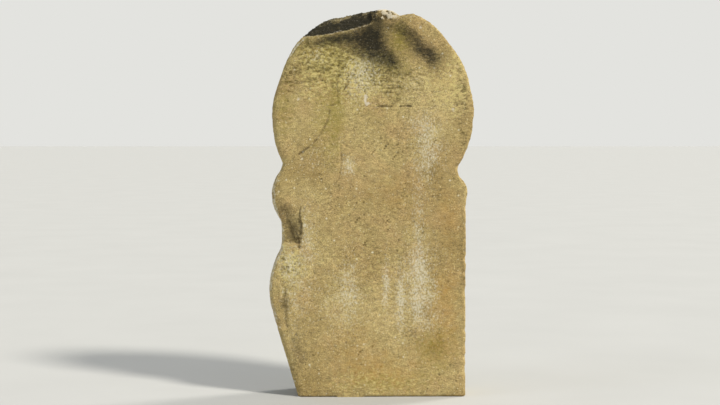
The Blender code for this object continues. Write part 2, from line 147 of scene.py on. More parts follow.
def add_node(
    tree: bpy.types.NodeTree,
    kind: str,
    values: dict | None = None,
    links: dict | None = None,
    **settings: object,
) -> bpy.types.Node:
    """Adds a node to a material or a world.

    Args:
        tree: The node tree that it joins.
        kind: Blender's name for the kind of node.
        values: Numbers and colours for its input sockets, by name or place.
        links: Output sockets that feed its input sockets, by name or place.
        **settings: The node's own properties.

    Returns:
        The new node.
    """
    node = tree.nodes.new(kind)
    for name, setting in settings.items():
        setattr(node, name, setting)
    for socket, value in (values or {}).items():
        node.inputs[socket].default_value = value
    for socket, source in (links or {}).items():
        tree.links.new(source, node.inputs[socket])
    return node


def smooth_step(low: float, high: float, value: np.ndarray) -> np.ndarray:
    """Rises smoothly from nought to one between two values.

    Args:
        low: Where the rise starts.
        high: Where it ends.
        value: The values to look up.

    Returns:
        The share of the rise at each value.
    """
    share = np.clip((value - low) / (high - low), 0.0, 1.0)
    return share * share * (3.0 - 2.0 * share)


# How a seed moves a noise pattern along X, Y and Z, and how strong and fine each octave is after the last
SEED_SHIFT = (1.0, 1.7, 3.1)
OCTAVE_STRENGTH = 0.8
OCTAVE_FINENESS = 2.0


def noise_field(points: np.ndarray, size: float | tuple, seed: float, octaves: int = 1) -> np.ndarray:
    """Smooth noise from about -1 to 1.

    Args:
        points: One row a point, in millimetres.
        size: How far apart its lumps are, in millimetres, or that along X, Y and Z.
        seed: Moves the pattern, so that two fields differ.
        octaves: How many times finer lumps are added at half the size and strength.

    Returns:
        The noise at each point.
    """
    places = (points / np.asarray(size) + seed * np.array(SEED_SHIFT)).tolist()
    if octaves == 1:
        return np.array([noise.noise(place) for place in places])
    strength, fineness = OCTAVE_STRENGTH, OCTAVE_FINENESS
    return np.array([noise.fractal(place, strength, fineness, octaves) for place in places])


def pore_field(points: np.ndarray, spacing: float, radius: float, seed: float) -> np.ndarray:
    """Small round hollows, scattered unevenly.

    Args:
        points: One row a point, in millimetres.
        spacing: How far apart the hollows are.
        radius: How wide each is at its mouth, from its middle.
        seed: Moves the pattern.

    Returns:
        One at the middle of a hollow, falling to nought at its rim.
    """
    places = (points / spacing + seed).tolist()
    nearest = np.array([noise.voronoi(place)[0][0] for place in places]) * spacing
    return 1.0 - smooth_step(0.0, radius, nearest)


@dataclass(frozen=True)
class Lumps:
    """A pattern of smooth noise: how many millimetres its lumps are apart, its seed and its octaves."""

    size: float | tuple[float, float, float]
    seed: float
    octaves: int = 1

    def at(self, points: np.ndarray) -> np.ndarray:
        """The pattern's value at each point, from about -1 to 1."""
        return noise_field(points, self.size, self.seed, self.octaves)


@dataclass(frozen=True)
class Rise:
    """A smooth rise from nought at one value to one at the other, which falls if the first is larger."""

    start: float
    end: float

    def at(self, value: np.ndarray) -> np.ndarray:
        """The share of the rise at each value."""
        return smooth_step(self.start, self.end, value)


# How far a patch's outline wanders, as a share of its smaller half size
WANDER_SHARE = 0.45


@dataclass(frozen=True)
class Patch:
    """A soft-edged oval of a stain on the front face, in millimetres and degrees."""

    x: float
    z: float
    half_width: float
    half_height: float
    strength: float = 1.0
    lean: float = 0.0

    def stray(self) -> float:
        """How far its edge wanders, in millimetres."""
        return WANDER_SHARE * min(self.half_width, self.half_height)

    def cover(self, x: np.ndarray, z: np.ndarray) -> np.ndarray:
        """How much of the stain lies at each place.

        Args:
            x: Places across the face.
            z: Places up the face.

        Returns:
            The patch's strength at its middle, half of it at its edge and nought well outside.
        """
        turn = math.radians(self.lean)
        across = (x - self.x) * math.cos(turn) - (z - self.z) * math.sin(turn)
        along = (x - self.x) * math.sin(turn) + (z - self.z) * math.cos(turn)
        reach = (across / self.half_width) ** 2 + (along / self.half_height) ** 2
        return self.strength * np.exp(-math.log(2.0) * reach)


@dataclass(frozen=True)
class Course:
    """A line drawn over the front face through points in millimetres."""

    points: tuple[tuple[float, float], ...]
    half_width: float

    def nearness(self, x: np.ndarray, z: np.ndarray) -> np.ndarray:
        """How near each place is to the line.

        Args:
            x: Places across the face.
            z: Places up the face.

        Returns:
            One on the line, falling smoothly to nought at its half width.
        """
        nearest = np.full(x.shape, np.inf)
        for (x0, z0), (x1, z1) in zip(self.points, self.points[1:]):
            run, rise = x1 - x0, z1 - z0
            share = np.clip(((x - x0) * run + (z - z0) * rise) / (run**2 + rise**2), 0.0, 1.0)
            nearest = np.minimum(nearest, np.hypot(x - x0 - share * run, z - z0 - share * rise))
        return 1.0 - smooth_step(0.0, self.half_width, nearest)


@dataclass(frozen=True)
class WornLine(Course):
    """A carved line that the weather has nearly taken: how deep it still is and how dark it looks."""

    depth: float = 1.0
    # How dark the groove is: grime, and painted shade where its wall is shaded
    grime: float = 0.5


@dataclass(frozen=True)
class StainedLine(Course):
    """A line of one stain along a crack or an edge."""

    stain: Stain = Stain.GRIME_AND_SHADE
    strength: float = 1.0


# The pits of a cluster: each one's place across and up, and its size, all as shares of the radius
PIT_CLUSTER = ((0.0, 0.0, 0.75), (1.1, 0.9, 0.55), (-0.7, -1.3, 0.60))
PIT_FLOOR = 0.25


@dataclass(frozen=True)
class Pit:
    """Three small pits in the front face, close together, in millimetres."""

    x: float
    z: float
    radius: float = 4.5
    depth: float = 2.0

    def hollow(self, x: np.ndarray, z: np.ndarray) -> np.ndarray:
        """How far down a pit each place is.

        Args:
            x: Places across the face.
            z: Places up the face.

        Returns:
            One at the middle of a pit, falling to nought at its rim.
        """
        reach = np.full(x.shape, np.inf)
        for across, up, size in PIT_CLUSTER:
            away = np.hypot(x - self.x - across * self.radius, z - self.z - up * self.radius)
            reach = np.minimum(reach, away / (size * self.radius))
        return 1.0 - smooth_step(PIT_FLOOR, 1.0, reach)


# How many straight parts a carved arc and a sagging line are drawn with
ARC_PARTS = 15
SAG_PARTS = 8


def arc(
    x: float, z: float, radius: float, start: float, end: float
) -> tuple[tuple[float, float], ...]:
    """Points along part of a circle.

    Args:
        x: Its centre across the face.
        z: Its centre up the face.
        radius: Its radius.
        start: The angle from +X at which it starts, in degrees.
        end: The angle at which it ends.

    Returns:
        The points from one end to the other.
    """
    turns = [math.radians(start + (end - start) * step / ARC_PARTS) for step in range(ARC_PARTS + 1)]
    return tuple((x + radius * math.cos(turn), z + radius * math.sin(turn)) for turn in turns)


def sagging(
    start: tuple[float, float], end: tuple[float, float], sag: float
) -> tuple[tuple[float, float], ...]:
    """Points along a parabola that hangs below the straight line between its ends.

    Args:
        start: Its left end.
        end: Its right end.
        sag: How far its middle hangs.

    Returns:
        The points from end to end.
    """
    shares = [step / SAG_PARTS for step in range(SAG_PARTS + 1)]
    return tuple(
        (
            start[0] + (end[0] - start[0]) * share,
            start[1] + (end[1] - start[1]) * share - sag * 4 * share * (1 - share),
        )
        for share in shares
    )


# The arris below the broken crown, from its left end to its right end, and how far it sags between them
BREAK_ENDS = ((-179.4, 973.3), (20.8, 1017.0))
BREAK_SAG = 7.6

BREAK_ARRIS = sagging(*BREAK_ENDS, BREAK_SAG)

# The lump that the break left standing, where the stone is freshly torn
KNOB = Patch(42.0, 1036.0, 26.0, 18.0)

# What is left of the carving on the head
WORN_LINES = (
    WornLine(arc(-282.5, 808.0, 173.1, -11.0, -62.0), 5.6, 1.8, 0.58),
    WornLine(((-95.0, 883.0), (-96.5, 850.0), (-92.0, 826.0), (-93.5, 802.0)), 5.5, 0.9, 0.27),
    WornLine(((-112.7, 788.4), (-92.5, 792.5)), 5.0, 1.1, 0.42),
    WornLine(((-85.7, 689.0), (-81.6, 647.0), (-87.6, 591.0)), 5.0, 1.1, 0.38),
    WornLine(((-87.6, 589.6), (-104.5, 574.1)), 5.0, 1.0, 0.38),
    WornLine(((14.5, 787.0), (54.4, 787.6)), 5.0, 1.8, 0.85),
    WornLine(((77.0, 787.0), (107.9, 787.6)), 5.0, 1.7, 0.75),
    WornLine(((107.9, 787.6), (168.0, 789.0)), 4.5, 0.7, 0.30),
    WornLine(((-152.6, 856.0), (-131.0, 856.0)), 5.0, 1.2, 0.45),
)

# Rows of short strokes where an inscription has gone, in millimetres
STROKE_ROWS = (834.0, 823.9, 809.9)
STROKE_COLUMNS = 3
STROKE_START = 10.4
STROKE_GAP = 16.0
STROKE_LENGTH = 10.0
STROKE_CLIMB = 1.0
STROKE_HALF_WIDTH = 3.6
STROKE_DEPTH = 0.9
# Grime and painted shade in the strokes
STROKE_GRIME = 0.40

# Clusters of small pits, by their middle, their radius and their depth
PITS = (
    Pit(-77.0, 891.0),
    Pit(-66.0, 864.0, 4.0),
    Pit(-69.0, 840.0, 5.0),
    Pit(39.0, 680.0, 5.5),
    Pit(61.0, 651.0),
    Pit(169.0, 691.0, 4.0),
    Pit(4.0, 664.0, 4.0),
    Pit(-39.0, 481.0, 5.0),
    Pit(42.0, 478.0),
    Pit(45.0, 454.0, 4.0),
    Pit(-18.0, 419.0, 5.0),
    Pit(-45.0, 405.0, 4.0),
    Pit(-31.0, 122.0, 5.0),
)

# Ovals of the face where the grain has weathered out into open pores, the densest first
FINEST_PORES = (
    Patch(-10.0, 858.0, 88.0, 55.0, 1.0),
    Patch(-134.0, 905.0, 92.0, 56.0, 0.85),
    Patch(-222.0, 868.0, 28.0, 50.0, 0.9),
    Patch(-220.0, 354.0, 38.0, 62.0, 1.0),
)
POROUS_PATCHES = (
    *FINEST_PORES,
    Patch(60.0, 690.0, 60.0, 50.0, 0.55),
    Patch(20.0, 470.0, 75.0, 75.0, 0.55),
)

PATCHES = {
    # Dark below the break, and in the two runs that lean down from it. The blob and its arm, from x -46 to
    # 56, and the streak that leans down to the right, from x 98 to 155, are painted cast shadows of
    # foliage
    Stain.CRUST_AND_SHADOW: (
        Patch(-90.0, 968.0, 92.0, 15.0, 0.78, -9.0),
        # From here to x 56: the blob and its arm, a painted cast shadow of foliage
        Patch(-46.0, 943.0, 44.0, 15.0, 0.36, -6.0),
        Patch(14.0, 908.0, 26.0, 16.0, 0.38),
        Patch(-30.0, 974.0, 44.0, 28.0, 0.50, -10.0),
        Patch(2.0, 960.0, 34.0, 44.0, 0.97),
        Patch(30.0, 932.0, 24.0, 24.0, 0.36),
        Patch(-18.0, 925.0, 24.0, 14.0, 0.26),
        Patch(56.0, 908.0, 24.0, 28.0, 0.74),
        # The streak that leans down to the right: a painted cast shadow of foliage
        Patch(98.0, 982.0, 34.0, 19.0, 0.56, 46.0),
        Patch(126.0, 952.0, 36.0, 20.0, 0.42, 46.0),
        Patch(155.0, 924.0, 38.0, 21.0, 0.74, 44.0),
        Patch(5.0, 1031.0, 10.0, 13.0, 0.90),
        Patch(18.0, 1014.0, 10.0, 12.0, 0.60),
        Patch(62.0, 1004.0, 26.0, 14.0, 0.30),
        Patch(-205.0, 872.0, 30.0, 40.0, 0.14),
    ),
    # Pale bloom: rain streaks, the rim of the scoop, the left lobe and the middle of the head
    Stain.BLOOM: (
        Patch(152.0, 672.0, 34.0, 76.0, 0.53),
        Patch(132.0, 735.0, 30.0, 40.0, 0.28),
        Patch(126.0, 450.0, 16.0, 120.0, 0.38),
        Patch(110.0, 856.0, 32.0, 34.0, 0.26),
        Patch(-155.0, 650.0, 30.0, 44.0, 0.24),
        Patch(-178.0, 466.0, 6.0, 3.0, 0.70, 45.0),
        Patch(-185.0, 506.0, 3.5, 9.0, 0.50),
        Patch(-212.0, 280.0, 28.0, 120.0, 0.30),
        Patch(130.0, 350.0, 38.0, 56.0, 0.55),
        Patch(135.0, 246.0, 37.0, 60.0, 0.60),
        Patch(40.0, 302.0, 9.0, 62.0, 0.66),
        Patch(78.0, 262.0, 10.0, 70.0, 0.64),
        Patch(-58.0, 296.0, 20.0, 74.0, 0.42),
        Patch(-92.0, 250.0, 60.0, 100.0, 0.26),
        Patch(-62.0, 626.0, 18.0, 26.0, 0.52),
        Patch(-22.0, 866.0, 46.0, 54.0, 0.58),
        Patch(-150.0, 926.0, 26.0, 22.0, 0.30),
        Patch(-172.0, 430.0, 20.0, 90.0, 0.38),
        Patch(-228.0, 366.0, 30.0, 50.0, 0.34),
    ),
    # Iron that has come out of the stone
    Stain.OCHRE: (
        Patch(212.0, 494.0, 32.0, 74.0, 0.38),
        Patch(190.0, 270.0, 40.0, 60.0, 0.36),
        Patch(60.0, 560.0, 90.0, 70.0, 0.30),
        Patch(177.0, 140.0, 50.0, 44.0, 0.46),
        Patch(214.0, 262.0, 34.0, 120.0, 0.32),
        Patch(40.0, 60.0, 120.0, 46.0, 0.48),
        Patch(-60.0, 150.0, 110.0, 84.0, 0.33),
        Patch(190.0, 850.0, 50.0, 60.0, 0.28),
    ),
    # Green algae in the damp places
    Stain.ALGAE: (
        Patch(-134.0, 925.0, 80.0, 52.0, 0.50),
        Patch(-92.0, 770.0, 18.0, 120.0, 0.48),
        Patch(-126.0, 730.0, 30.0, 90.0, 0.36),
        Patch(77.0, 975.0, 24.0, 36.0, 0.66),
        Patch(20.0, 885.0, 90.0, 38.0, 0.44),
        Patch(-222.0, 352.0, 42.0, 66.0, 0.38),
        Patch(-240.0, 760.0, 24.0, 90.0, 0.40),
        Patch(176.0, 132.0, 48.0, 54.0, 0.52),
        Patch(30.0, 40.0, 130.0, 36.0, 0.42),
        Patch(-60.0, 845.0, 190.0, 120.0, 0.26),
    ),
    # Grime and painted shade: painted shade in the scoop, in its crack, down the right edge and on the
    # lower left bevel, a painted shadow of plants by the foot, and grime below the left lobe and beside
    # the rain streaks
    Stain.GRIME_AND_SHADE: (
        Patch(182.0, 140.0, 32.0, 46.0, 0.34),
        # The scoop: painted shade where its floor faces away from the light
        Patch(-213.0, 460.0, 18.0, 14.0, 0.40),
        Patch(-219.0, 488.0, 27.0, 40.0, 0.54),
        Patch(-216.0, 434.0, 27.0, 24.0, 0.52),
        Patch(-238.0, 512.0, 12.0, 12.0, 0.26),
        Patch(-244.0, 532.0, 15.0, 22.0, 0.30),
        # The crack at the scoop's right: painted shade under its edge
        Patch(-193.5, 488.0, 2.8, 5.0, 0.90),
        Patch(-194.0, 476.0, 3.2, 4.0, 0.90),
        Patch(-190.0, 446.0, 3.6, 6.0, 0.80),
        Patch(-196.5, 431.0, 6.5, 3.2, 1.00),
        Patch(-193.5, 409.0, 4.2, 3.2, 0.85),
        Patch(88.0, 395.0, 26.0, 64.0, 0.20),
        # This one: painted shade down the right edge
        Patch(250.0, 380.0, 8.0, 280.0, 0.36),
        Patch(196.0, 905.0, 28.0, 24.0, 0.18),
        Patch(170.0, 738.0, 34.0, 40.0, 0.18),
        Patch(-250.0, 286.0, 4.5, 18.0, 0.44),
        # This one: painted shade on the bevel of the left edge
        Patch(-262.0, 284.0, 9.0, 30.0, 0.24),
        Patch(-232.0, 286.0, 5.0, 17.0, 0.48),
        Patch(-235.0, 252.0, 14.0, 17.0, 0.62),
        Patch(-230.0, 205.0, 6.0, 40.0, 0.44),
        # This one: a painted shadow of the plants by the foot
        Patch(-200.0, 120.0, 22.0, 60.0, 0.48),
        Patch(168.0, 610.0, 16.0, 16.0, 0.34),
        Patch(52.0, 1018.0, 30.0, 7.0, 0.32),
        Patch(80.0, 340.0, 7.0, 34.0, 0.26),
        Patch(106.0, 178.0, 7.0, 22.0, 0.36),
        Patch(122.0, 188.0, 5.0, 34.0, 0.34),
    ),
    # Cream lichen over the head, the left lobe and the foot
    Stain.LICHEN: (
        Patch(-134.0, 896.0, 92.0, 68.0, 0.70),
        Patch(-10.0, 858.0, 66.0, 60.0, 0.64),
        Patch(150.0, 850.0, 70.0, 74.0, 0.42),
        Patch(228.0, 838.0, 28.0, 100.0, 0.58),
        Patch(-228.0, 372.0, 36.0, 58.0, 0.66),
        Patch(-60.0, 690.0, 130.0, 120.0, 0.22),
        Patch(20.0, 300.0, 190.0, 190.0, 0.28),
        Patch(10.0, 36.0, 170.0, 44.0, 0.40),
    ),
    # Dark moss between the lichen and along the right edge
    Stain.MOSS: (
        Patch(-134.0, 906.0, 96.0, 68.0, 0.62),
        Patch(-222.0, 860.0, 26.0, 56.0, 0.50),
        Patch(10.0, 868.0, 110.0, 58.0, 0.46),
        Patch(60.0, 985.0, 60.0, 30.0, 0.36),
        Patch(-228.0, 360.0, 34.0, 64.0, 0.56),
        Patch(46.0, 856.0, 36.0, 38.0, 0.46),
        Patch(238.0, 830.0, 20.0, 100.0, 0.40),
        Patch(140.0, 820.0, 90.0, 110.0, 0.30),
        Patch(60.0, 700.0, 70.0, 60.0, 0.26),
        Patch(10.0, 470.0, 90.0, 80.0, 0.22),
        Patch(250.0, 700.0, 10.0, 220.0, 0.42),
    ),
    # Freshly torn stone on the knob, and three small chips
    Stain.FRESH: (
        Patch(32.0, 1036.0, 14.0, 11.0, 0.80),
        Patch(62.0, 1031.0, 11.0, 6.0, 0.80),
        Patch(131.0, 999.0, 4.0, 3.5, 0.9),
        Patch(220.0, 780.0, 4.0, 4.0, 0.9),
        Patch(-196.0, 807.0, 4.0, 3.0, 0.8),
    ),
    # Painted light: paler on the lower middle and over the right of the head, where more light falls
    Stain.PAINTED_LIGHT: (
        Patch(20.0, 190.0, 110.0, 100.0, 0.52),
        Patch(186.0, 828.0, 60.0, 80.0, 0.44),
        Patch(110.0, 850.0, 42.0, 46.0, 0.66),
    ),
}

# The two lines that the scoop's crack and the split along its lobe follow
SCOOP_CRACK = (
    (-190.5, 515.5),
    (-194.0, 489.6),
    (-189.5, 472.3),
    (-189.5, 450.7),
    (-196.5, 433.4),
    (-194.5, 407.5),
)
SCOOP_SPLIT = ((-236.5, 522.0), (-232.0, 500.4), (-224.7, 478.8), (-215.7, 457.2), (-205.4, 435.6))

# The upper rim of the scoop, and the torn edge from the knob down into the dip beside it
SCOOP_RIM = ((-262.0, 525.0), (-256.0, 504.0), (-246.0, 483.0), (-241.0, 462.0))
KNOB_RIM = ((40.0, 1030.0), (70.0, 1022.0), (84.0, 1022.0), (112.0, 1030.0))

# Stains that follow a line: the arris of the break, the rims, the white fleck, the crack and the split.
# Along the arris and the scoop's ledge they carry a painted highlight too, and along the crack and the
# split the dark is painted shade
STAINED_LINES = (
    # Pale worn stone along the arris, and a painted highlight where the arris catches the light
    StainedLine(BREAK_ARRIS, 3.8, Stain.FRESH, 0.36),
    StainedLine(((-222.0, 918.0), (-204.0, 946.0), (-177.0, 971.0)), 6.0, Stain.BLOOM, 0.75),
    StainedLine(KNOB_RIM, 5.0, Stain.FRESH, 0.40),
    StainedLine(((-16.5, 815.0), (-16.5, 797.0), (-13.5, 793.5), (-8.0, 794.0)), 4.8, Stain.FRESH, 2.4),
    # The crack and the split: painted shade under the crack's edge and the split's overhang
    StainedLine(SCOOP_CRACK[:3], 4.5, Stain.GRIME_AND_SHADE, 0.85),
    StainedLine(SCOOP_CRACK[2:], 6.5, Stain.GRIME_AND_SHADE, 1.0),
    StainedLine(SCOOP_SPLIT, 8.0, Stain.GRIME_AND_SHADE, 0.55),
    StainedLine(((-180.0, 488.0), (-182.0, 470.0), (-178.0, 440.0)), 7.0, Stain.BLOOM, 0.60),
    # Lichen below the scoop's ledge, and a painted highlight along the ledge
    StainedLine(((-240.0, 412.0), (-222.0, 408.0), (-206.0, 410.0)), 6.0, Stain.LICHEN, 0.85),
    StainedLine(SCOOP_RIM, 6.5, Stain.BLOOM, 0.75),
    StainedLine(((-241.0, 462.0), (-239.0, 441.0), (-241.0, 420.0)), 6.5, Stain.BLOOM, 0.75),
    StainedLine(((-240.0, 300.0), (-241.0, 268.0)), 3.6, Stain.BLOOM, 0.60),
)


@dataclass(frozen=True)
class StainLayer:
    """One colour laid over the stone, a stain and in some layers painted shade, shadow and highlight too,
    broken up at its edge by clusters of grain.
    """

    stain: Stain
    colour: str
    cluster_mm: tuple[float, float, float]
    raggedness: float
    opacity: float
    span: tuple[float, float] = (0.12, 0.85)


@dataclass(frozen=True)
class Speckle:
    """Small spots of one colour, scattered over the whole stone."""

    colour: str
    spacing_mm: float
    radius_mm: float
    share: float
    opacity: float


@dataclass(frozen=True)
class Mottle:
    """One size of the stone's mottling, and how far it darkens and brightens the colour."""

    size_mm: tuple[float, float, float]
    detail: float
    darkest: float
    brightest: float


@dataclass(frozen=True)
class WeatheredSandstone:
    """Ochre sandstone, dressed by hand and weathered: matt, granular and mottled, never glossy.

    Its grains throw the light back every way, so it has hardly any gloss. Its bed colours drift from pale
    to dark and warm and are painted paler where more light falls, iron and quartz show as dark and pale
    speckles, and the stains lie over them from the oldest to the freshest, with painted shade, shadow and
    highlight in some.
    """

    name: str = "weathered_ochre_sandstone"
    pale_bed: str = "#ad9b69"
    dark_bed: str = "#978253"
    warm_bed: str = "#a68d60"
    # The colour of the painted light on the lower middle and the right of the head
    painted_light_bed: str = "#b9a876"
    hewn_bed: str = "#857b58"
    bed_mm: float = 130.0
    bed_detail: float = 4.0
    bed_span: tuple[float, float] = (0.36, 0.64)
    warm_mm: float = 62.0
    warm_detail: float = 3.0
    warm_span: tuple[float, float] = (0.44, 0.66)
    warm_most: float = 0.70
    # Mottles of damp, clumps of weathered grain, and the grains, drawn as coarse as they need to show
    mottles: tuple[Mottle, ...] = (
        Mottle((30.0, 26.0, 22.0), 3.0, 0.86, 1.14),
        Mottle((13.5, 9.0, 6.6), 5.0, 0.66, 1.34),
        Mottle((2.9, 2.3, 2.0), 2.0, 0.48, 1.52),
    )
    mottle_span: tuple[float, float] = (0.28, 0.72)
    mottle_roughness: float = 0.7
    cluster_detail: float = 4.0
    cluster_roughness: float = 0.62
    spot_core: float = 0.4
    smoothest: float = 0.86
    roughest: float = 0.98
    specular: float = 0.18
    bump_strength: float = 0.85
    grain_relief: float = 1.4 * MM
    # Iron spots, small and large, then quartz and shell, small and large
    speckles: tuple[Speckle, ...] = (
        Speckle("#4c4024", 10.0, 2.3, 0.40, 0.62),
        Speckle("#4a3d22", 23.0, 4.6, 0.30, 0.60),
        Speckle("#dbd1ab", 8.0, 2.0, 0.36, 0.68),
        Speckle("#dcd6bb", 21.0, 3.6, 0.22, 0.72),
    )
    # The stains, with painted shade, shadow and highlight among them, from the bottom one up, each with
    # its colour, cluster size, raggedness and opacity
    layers: tuple[StainLayer, ...] = (
        StainLayer(Stain.OCHRE, "#ab8138", (16.0, 16.0, 16.0), 0.80, 0.62),
        StainLayer(Stain.ALGAE, "#83792e", (12.0, 9.0, 8.0), 1.20, 0.68),
        StainLayer(Stain.LICHEN, "#d4c582", (9.5, 7.5, 6.0), 2.40, 0.76, (0.26, 1.05)),
        StainLayer(Stain.MOSS, "#473c1a", (12.0, 8.5, 6.4), 2.50, 0.78, (0.34, 1.10)),
        StainLayer(Stain.BLOOM, "#d1cab2", (3.9, 3.9, 6.0), 2.40, 0.82, (0.20, 0.98)),
        # Grime, and painted shade and shadow
        StainLayer(Stain.GRIME_AND_SHADE, "#463a24", (6.0, 6.0, 6.0), 0.90, 0.82),
        # Black crust, and painted cast shadows of foliage
        StainLayer(Stain.CRUST_AND_SHADOW, "#1b1b15", (8.0, 6.0, 4.5), 0.78, 0.965, (0.0, 0.97)),
        StainLayer(Stain.FRESH, "#cbc1ab", (4.0, 4.0, 4.0), 1.80, 0.88),
        # Painted shade in the pits and the pores
        StainLayer(Stain.PORE_SHADE, "#4b3e1c", (5.0, 5.0, 5.0), 0.30, 0.66),
    )

    def material(self) -> bpy.types.Material:
        """Builds the stone's material.

        Returns:
            A material on Object coordinates and on the stain attributes of the mesh.
        """
        material = bpy.data.materials.new(self.name)
        material.use_nodes = True
        tree = material.node_tree
        shader = tree.nodes["Principled BSDF"]
        shader.inputs["Metallic"].default_value = 0.0
        shader.inputs["Specular IOR Level"].default_value = self.specular
        place = add_node(tree, "ShaderNodeTexCoord").outputs["Object"]
        colour = self.bedding(tree, place)
        colour, relief = self.grain(tree, place, colour)
        for speckle in self.speckles:
            colour = self.speckled(tree, place, colour, speckle)
        for layer in self.layers:
            colour = self.stained(tree, place, colour, layer)
        tree.links.new(colour, shader.inputs["Base Color"])
        rough = add_node(
            tree,
            "ShaderNodeMapRange",
            {"To Min": self.smoothest, "To Max": self.roughest},
            {"Value": relief},
        )
        tree.links.new(rough.outputs["Result"], shader.inputs["Roughness"])
        bump = add_node(
            tree,
            "ShaderNodeBump",
            {"Strength": self.bump_strength, "Distance": self.grain_relief},
            {"Height": relief},
        )
        tree.links.new(bump.outputs["Normal"], shader.inputs["Normal"])
        return material

    def bedding(self, tree: bpy.types.NodeTree, place: bpy.types.NodeSocket) -> bpy.types.NodeSocket:
        """Adds the broad drift from paler to darker stone, the painted light, and the duller colour of the
        rough-hewn sides.

        Args:
            tree: The material's nodes.
            place: Object coordinates.

        Returns:
            The colour so far.
        """
        drift = add_node(
            tree,
            "ShaderNodeTexNoise",
            {"Scale": per_metre(self.bed_mm), "Detail": self.bed_detail},
            {"Vector": place},
        )
        share = add_node(
            tree,
            "ShaderNodeMapRange",
            {"From Min": self.bed_span[0], "From Max": self.bed_span[1]},
            {"Value": drift.outputs["Fac"]},
        )
        face = add_node(
            tree,
            "ShaderNodeMix",
            {MIX_BELOW: linear(self.dark_bed), MIX_ABOVE: linear(self.pale_bed)},
            {MIX_FACTOR: share.outputs["Result"]},
            data_type="RGBA",
        )
        warmth = add_node(
            tree,
            "ShaderNodeTexNoise",
            {"Scale": per_metre(self.warm_mm), "Detail": self.warm_detail},
            {"Vector": place},
        )
        warm_share = add_node(
            tree,
            "ShaderNodeMapRange",
            {"From Min": self.warm_span[0], "From Max": self.warm_span[1], "To Max": self.warm_most},
            {"Value": warmth.outputs["Fac"]},
        )
        warm = add_node(
            tree,
            "ShaderNodeMix",
            {MIX_ABOVE: linear(self.warm_bed)},
            {MIX_FACTOR: warm_share.outputs["Result"], MIX_BELOW: face.outputs[MIX_RESULT]},
            data_type="RGBA",
        )
        bed = warm.outputs[MIX_RESULT]
        # Painted light first, then the rough-hewn sides
        for where, bed_colour in ((Stain.PAINTED_LIGHT, self.painted_light_bed), (Stain.HEWN, self.hewn_bed)):
            amount = add_node(tree, "ShaderNodeAttribute", attribute_name=where.value)
            mixed = add_node(
                tree,
                "ShaderNodeMix",
                {MIX_ABOVE: linear(bed_colour)},
                {MIX_FACTOR: amount.outputs["Fac"], MIX_BELOW: bed},
                data_type="RGBA",
            )
            bed = mixed.outputs[MIX_RESULT]
        return bed

    def stretched(
        self, tree: bpy.types.NodeTree, place: bpy.types.NodeSocket, size_mm: tuple[float, float, float]
    ) -> bpy.types.NodeSocket:
        """Scales the coordinates, so that a pattern's lumps are so many millimetres along X, Y and Z.

        Args:
            tree: The material's nodes.
            place: Object coordinates.
            size_mm: The size of a lump along each axis.

        Returns:
            The coordinates for a pattern of scale one.
        """
        scales = tuple(per_metre(size) for size in size_mm)
        scaled = add_node(tree, "ShaderNodeVectorMath", {1: scales}, {0: place}, operation="MULTIPLY")
        return scaled.outputs["Vector"]

    def grain(
        self, tree: bpy.types.NodeTree, place: bpy.types.NodeSocket, colour: bpy.types.NodeSocket
    ) -> tuple[bpy.types.NodeSocket, bpy.types.NodeSocket]:
        """Adds the mottles, the clumps and the coarse sand grains.

        Sandstone's own grains are under a millimetre. They are drawn as coarse as they need to show.

        Args:
            tree: The material's nodes.
            place: Object coordinates.
            colour: The colour below.

        Returns:
            The colour with its grain, and the height of the grain for the bump.
        """
        low, high = self.mottle_span
        for mottle in self.mottles:
            lumps = add_node(
                tree,
                "ShaderNodeTexNoise",
                {"Scale": 1.0, "Detail": mottle.detail, "Roughness": self.mottle_roughness},
                {"Vector": self.stretched(tree, place, mottle.size_mm)},
            )
            level = add_node(
                tree,
                "ShaderNodeMapRange",
                {"From Min": low, "From Max": high, "To Min": mottle.darkest, "To Max": mottle.brightest},
                {"Value": lumps.outputs["Fac"]},
            )
            mixed = add_node(
                tree,
                "ShaderNodeMix",
                {MIX_FACTOR: 1.0},
                {MIX_BELOW: colour, MIX_ABOVE: level.outputs["Result"]},
                data_type="RGBA",
                blend_type="MULTIPLY",
            )
            colour = mixed.outputs[MIX_RESULT]
        return colour, lumps.outputs["Fac"]

    def speckled(
        self,
        tree: bpy.types.NodeTree,
        place: bpy.types.NodeSocket,
        colour: bpy.types.NodeSocket,
        speckle: Speckle,
    ) -> bpy.types.NodeSocket:
        """Scatters one kind of spot over the colour below.

        Args:
            tree: The material's nodes.
            place: Object coordinates.
            colour: The colour below.
            speckle: The spots' colour, size and number.

        Returns:
            The colour with the spots on it.
        """
        cells = add_node(
            tree, "ShaderNodeTexVoronoi", {"Scale": per_metre(speckle.spacing_mm)}, {"Vector": place}
        )
        reach = speckle.radius_mm / speckle.spacing_mm
        spot = add_node(
            tree,
            "ShaderNodeMapRange",
            {"From Min": reach, "From Max": self.spot_core * reach, "To Max": speckle.opacity},
            {"Value": cells.outputs["Distance"]},
        )
        draw = add_node(tree, "ShaderNodeSeparateColor", None, {"Color": cells.outputs["Color"]})
        chosen = add_node(
            tree, "ShaderNodeMath", {1: speckle.share}, {0: draw.outputs["Red"]}, operation="LESS_THAN"
        )
        cover = add_node(
            tree,
            "ShaderNodeMath",
            None,
            {0: spot.outputs["Result"], 1: chosen.outputs["Value"]},
            operation="MULTIPLY",
        )
        mixed = add_node(
            tree,
            "ShaderNodeMix",
            {MIX_ABOVE: linear(speckle.colour)},
            {MIX_FACTOR: cover.outputs["Value"], MIX_BELOW: colour},
            data_type="RGBA",
        )
        return mixed.outputs[MIX_RESULT]

